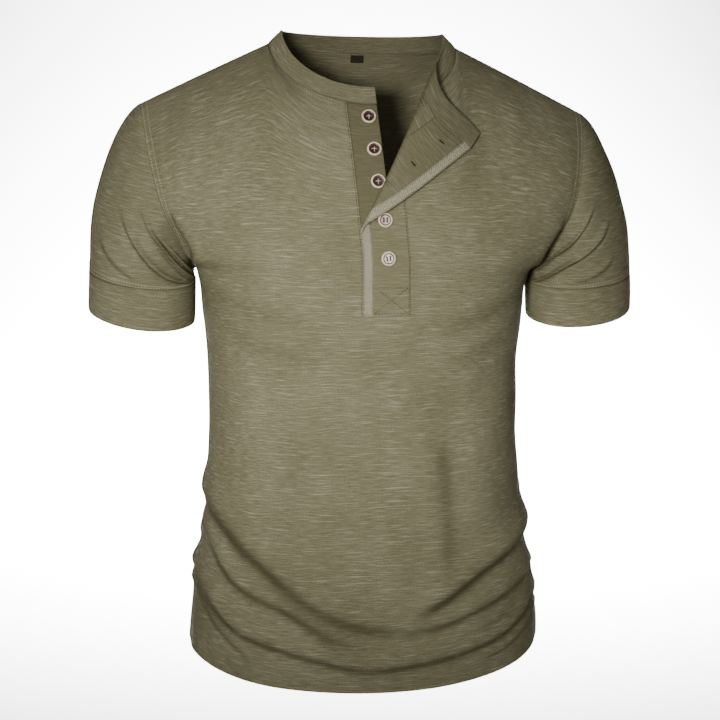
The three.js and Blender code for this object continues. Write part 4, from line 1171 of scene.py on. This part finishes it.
def turned_blank(name, materials):
    vertices, faces, zones, starts = [], [], [], []
    for r, h, _ in BUTTON_PROFILE:
        starts.append(len(vertices))
        for k in range(1 if r == 0 else BUTTON_SIDES):
            a = 2 * math.pi * k / BUTTON_SIDES
            vertices.append((r * math.cos(a), r * math.sin(a), h))
    for n in range(len(BUTTON_PROFILE) - 1):
        here, there = starts[n], starts[n + 1]
        for k in range(BUTTON_SIDES):
            m = (k + 1) % BUTTON_SIDES
            if BUTTON_PROFILE[n][0] == 0:
                faces.append([here, there + m, there + k])
            elif BUTTON_PROFILE[n + 1][0] == 0:
                faces.append([here + k, here + m, there])
            else:
                faces.append([here + k, here + m, there + m, there + k])
            zones.append(BUTTON_PROFILE[n + 1][2])
    return loose_object(name, vertices, faces, materials, zones)


def drills():
    vertices, faces = [], []
    sides = 16
    for sx, sy in ((1, 1), (1, -1), (-1, 1), (-1, -1)):
        base = len(vertices)
        for h in (-1.0, 5.0):
            for k in range(sides):
                a = 2 * math.pi * k / sides
                x, y = HOLE_RADIUS * math.cos(a), HOLE_RADIUS * math.sin(a)
                vertices.append((sx * HOLE_SPREAD + x, sy * HOLE_SPREAD + y, h))
        faces.append([base + k for k in range(sides - 1, -1, -1)])
        faces.append([base + sides + k for k in range(sides)])
        for k in range(sides):
            m = (k + 1) % sides
            faces.append([base + k, base + m, base + sides + m, base + sides + k])
    return loose_object("drills", vertices, faces, [HOLE_SHADE])


# Thread from hole to hole: a strand of five sides that humps over the button's middle
def button_strands(name, pairs, thread, thick):
    vertices, faces = [], []
    steps = 10
    for n, (p, q) in enumerate(pairs):
        p, q = np.array([*p, 0.0]), np.array([*q, 0.0])
        way = unit(q - p)
        side = np.array([-way[1], way[0], 0.0]) * thick
        base = len(vertices)
        for k in range(steps + 1):
            t = k / steps
            hump = 1.35 + 0.95 * math.sin(math.pi * t) ** 0.5 + 0.12 * n if 0 < k < steps else 0.6
            centre = p + (q - p) * t
            for c, s in ((1, 0), (0.5, 0.8), (-0.5, 0.8), (-1, 0), (0, -0.6)):
                spot = centre + side * c
                vertices.append((spot[0], spot[1], hump + 0.4 * s))
        for k in range(steps):
            for m in range(5):
                a, b = base + 5 * k + m, base + 5 * k + (m + 1) % 5
                faces.append([a, b, b + 5, a + 5])
    piece = loose_object(name, vertices, faces, [thread])
    piece.data.shade_smooth()
    return piece


CROSS = [((1.8, 1.8), (-1.8, -1.8)), ((1.8, -1.8), (-1.8, 1.8))]
BARS = [((1.6, 1.8), (1.6, -1.8)), ((-1.6, 1.8), (-1.6, -1.8))]


def make_button(index, height_z, offset, under, ring, middle, pairs, thread, thick, turned):
    level = level_at_z("front", height_z)
    across = across_at_x("front", placket_middle(height_z) + offset, level)
    normal = body_normal("front", across, level)
    foot = BUTTON_CLEAR - (UNDER_DEPTH if under else 0.0)
    place = leaned(body_point("front", across, level) + normal * foot)
    button = turned_blank("button_%d_turned" % index, (RIM, ring, middle))
    drill = drills()
    # The holes' walls take the drills' dark material: painted shade down the holes
    cut = button.modifiers.new("holes", "BOOLEAN")
    cut.object = drill
    cut.operation = "DIFFERENCE"
    cut.solver = "EXACT"
    cut.material_mode = "TRANSFER"
    bpy.context.view_layer.update()
    drilled = bpy.data.meshes.new_from_object(button.evaluated_get(bpy.context.evaluated_depsgraph_get()))
    button.modifiers.clear()
    button.data = drilled
    drilled.shade_smooth()
    drilled.set_sharp_from_angle(angle=math.radians(40))
    bpy.data.objects.remove(drill)
    # The face looks out of the cloth, the holes are square to the placket
    out = Vector(normal)
    right = Vector((1, 0, 0)) - out * out.x
    right.normalize()
    turn = Matrix((right, out.cross(right), out)).transposed()
    turn = turn @ Matrix.Rotation(math.radians(turned), 3, "Z")
    button.matrix_world = Matrix.Translation(Vector(place * MM)) @ turn.to_4x4()
    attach(button, "root")
    strands = button_strands("button_%d_thread" % index, pairs, thread, thick)
    strands.matrix_world = button.matrix_world.copy()
    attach(strands, "root")
    return button


# Put the shirt together
front = make_front()
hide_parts("body_front")
back = make_back()
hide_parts("body_back")
for hand, name in ((-1, "right"), (1, "left")):
    sleeve = make_sleeve(hand, name + "_sleeve")
    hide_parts("sleeve_" + name)
    hem = make_hem_band(hand, name + "_sleeve_hem")
    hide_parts("sleeve_hem_" + name)
    stitches = sew_sleeve(hand, name + "_sleeve_stitching")
band = make_neckband()
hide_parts("neckband")
under_low = float(level_at_z("front", PLACKET_FOOT_Z - UNDER_TUCK))
over_from = -PLACKET_HALF + BINDING_WIDTH
under = make_strip(
    "button_placket", -PLACKET_HALF - UNDER_TUCK, UNDER_EDGE, 26, under_low,
    -UNDER_DEPTH, -UNDER_DEPTH - WALL, False, SHADED_TUCKED_JERSEY,
)
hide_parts("placket_under")
over = make_strip(
    "buttonhole_placket", over_from, PLACKET_HALF - SIDE_JOIN, 34, FOOT_LEVEL + 0.003,
    0.0, -WALL, True, FACED_JERSEY,
)
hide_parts("placket_over")
tape = make_strip(
    "edge_binding", -PLACKET_HALF + SIDE_JOIN, over_from - SIDE_JOIN, 14, FOOT_LEVEL + 0.003,
    0.5, -WALL - 0.3, True, TAPE,
)
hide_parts("placket_binding")
seam_stitches, placket_stitches = sew_body()
holes, slit_shade = make_buttonholes()
finishes = [
    (BROWN, BROWN, CROSS, BUTTON_THREAD, 0.5, 45, "button_brown"),
    (BROWN, BROWN, CROSS, BUTTON_THREAD, 0.5, 45, "button_brown"),
    (BROWN, BROWN, CROSS, BUTTON_THREAD, 0.5, 45, "button_brown"),
    (BROWN, ROSE, BARS, BROWN_THREAD, 0.55, 0, "button_rose"),
    (RING_BROWN, CREAM, BARS, BROWN_THREAD, 0.5, 8, "button_cream"),
]
for index, (place, finish) in enumerate(zip(BUTTONS, finishes), 1):
    button = make_button(index, *place, *finish[:6])
    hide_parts("button_%d" % index)
label = make_label()
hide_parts("neck_label")

# Camera at the photograph's viewing angle
AZIMUTH = math.radians(-6.0)
ELEVATION = math.radians(12.0)
DISTANCE = 2550.0
MM_PER_PIXEL = 1.07
IMAGE_PIXELS = 720
TARGET_RIGHT_OF_MIDDLE = 2.0


def make_camera():
    target = np.array([0.0, 0.0, -335.0])
    toward = np.array([
        math.sin(AZIMUTH) * math.cos(ELEVATION),
        -math.cos(AZIMUTH) * math.cos(ELEVATION),
        math.sin(ELEVATION),
    ])
    sideways = unit(np.cross(-toward, [0.0, 0.0, 1.0]))
    data = bpy.data.cameras.new("camera")
    data.sensor_width = 36.0
    data.lens = 36.0 * (DISTANCE / MM_PER_PIXEL) / IMAGE_PIXELS
    camera = bpy.data.objects.new("camera", data)
    bpy.context.scene.collection.objects.link(camera)
    shift = sideways * TARGET_RIGHT_OF_MIDDLE * MM_PER_PIXEL
    camera.location = Vector((target + toward * DISTANCE - shift) * MM)
    camera.rotation_mode = "QUATERNION"
    camera.rotation_quaternion = Vector(toward).to_track_quat("Z", "Y")
    bpy.context.scene.camera = camera


# A pale paper sweep: floor and backdrop in one
def make_sweep():
    profile = [(-4.0, -1.15), (2.4, -1.15)]
    for k in range(1, 13):
        a = math.pi / 2 * k / 12
        profile.append((2.4 + 1.0 * math.sin(a), -1.15 + 1.0 * (1 - math.cos(a))))
    profile.append((3.4, 2.2))
    vertices = [(x, y, z) for y, z in profile for x in (-3.0, 3.0)]
    faces = [[2 * k, 2 * k + 1, 2 * k + 3, 2 * k + 2] for k in range(len(profile) - 1)]
    mesh = bpy.data.meshes.new("sweep")
    mesh.from_pydata(vertices, [], faces)
    mesh.shade_smooth()
    material, tree, shader = new_material("matt_white_paper")
    place = put(tree, "ShaderNodeTexCoord")
    grain = put(tree, "ShaderNodeTexNoise", {"Vector": place.outputs["Object"], "Scale": 300.0})
    tone = put(
        tree, "ShaderNodeValToRGB", {0: grain.outputs[0]},
        ramp=[(0.3, linear("#f3f3f2")), (0.7, linear("#f7f7f6"))],
    )
    tree.links.new(tone.outputs[0], shader.inputs["Base Color"])
    shader.inputs["Roughness"].default_value = 0.95
    shader.inputs["Specular IOR Level"].default_value = 0.1
    mesh.materials.append(material)
    sweep = bpy.data.objects.new("sweep", mesh)
    bpy.context.scene.collection.objects.link(sweep)


def soft_light(name, place, size, watts, aim, spread):
    lamp = bpy.data.lights.new(name, "AREA")
    lamp.shape = "SQUARE"
    lamp.size = size
    lamp.energy = watts
    lamp.spread = math.radians(spread)
    item = bpy.data.objects.new(name, lamp)
    bpy.context.scene.collection.objects.link(item)
    item.location = place
    item.rotation_mode = "QUATERNION"
    item.rotation_quaternion = (Vector(place) - Vector(aim)).to_track_quat("Z", "Y")


make_camera()
make_sweep()
soft_light("key", (-0.75, -2.3, 0.12), 0.5, 1.7, (-0.05, -0.1, -0.28), spread=24.5)
soft_light("fill", (-0.3, -1.7, 1.3), 1.2, 0.5, (0.0, 0.0, -0.1), spread=50)
soft_light("back", (0.5, 2.1, 0.4), 0.5, 0.3, (0.0, 0.1, -0.3), spread=26)
soft_light("backdrop", (0.3, 2.6, 0.9), 1.5, 430, (0.3, 2.6, -1.15), spread=84)
world = bpy.data.worlds.new("studio")
world.use_nodes = True
world.node_tree.nodes["Background"].inputs[0].default_value = (1.0, 0.97, 0.90, 1)
world.node_tree.nodes["Background"].inputs[1].default_value = 0.14
bpy.context.scene.world = world
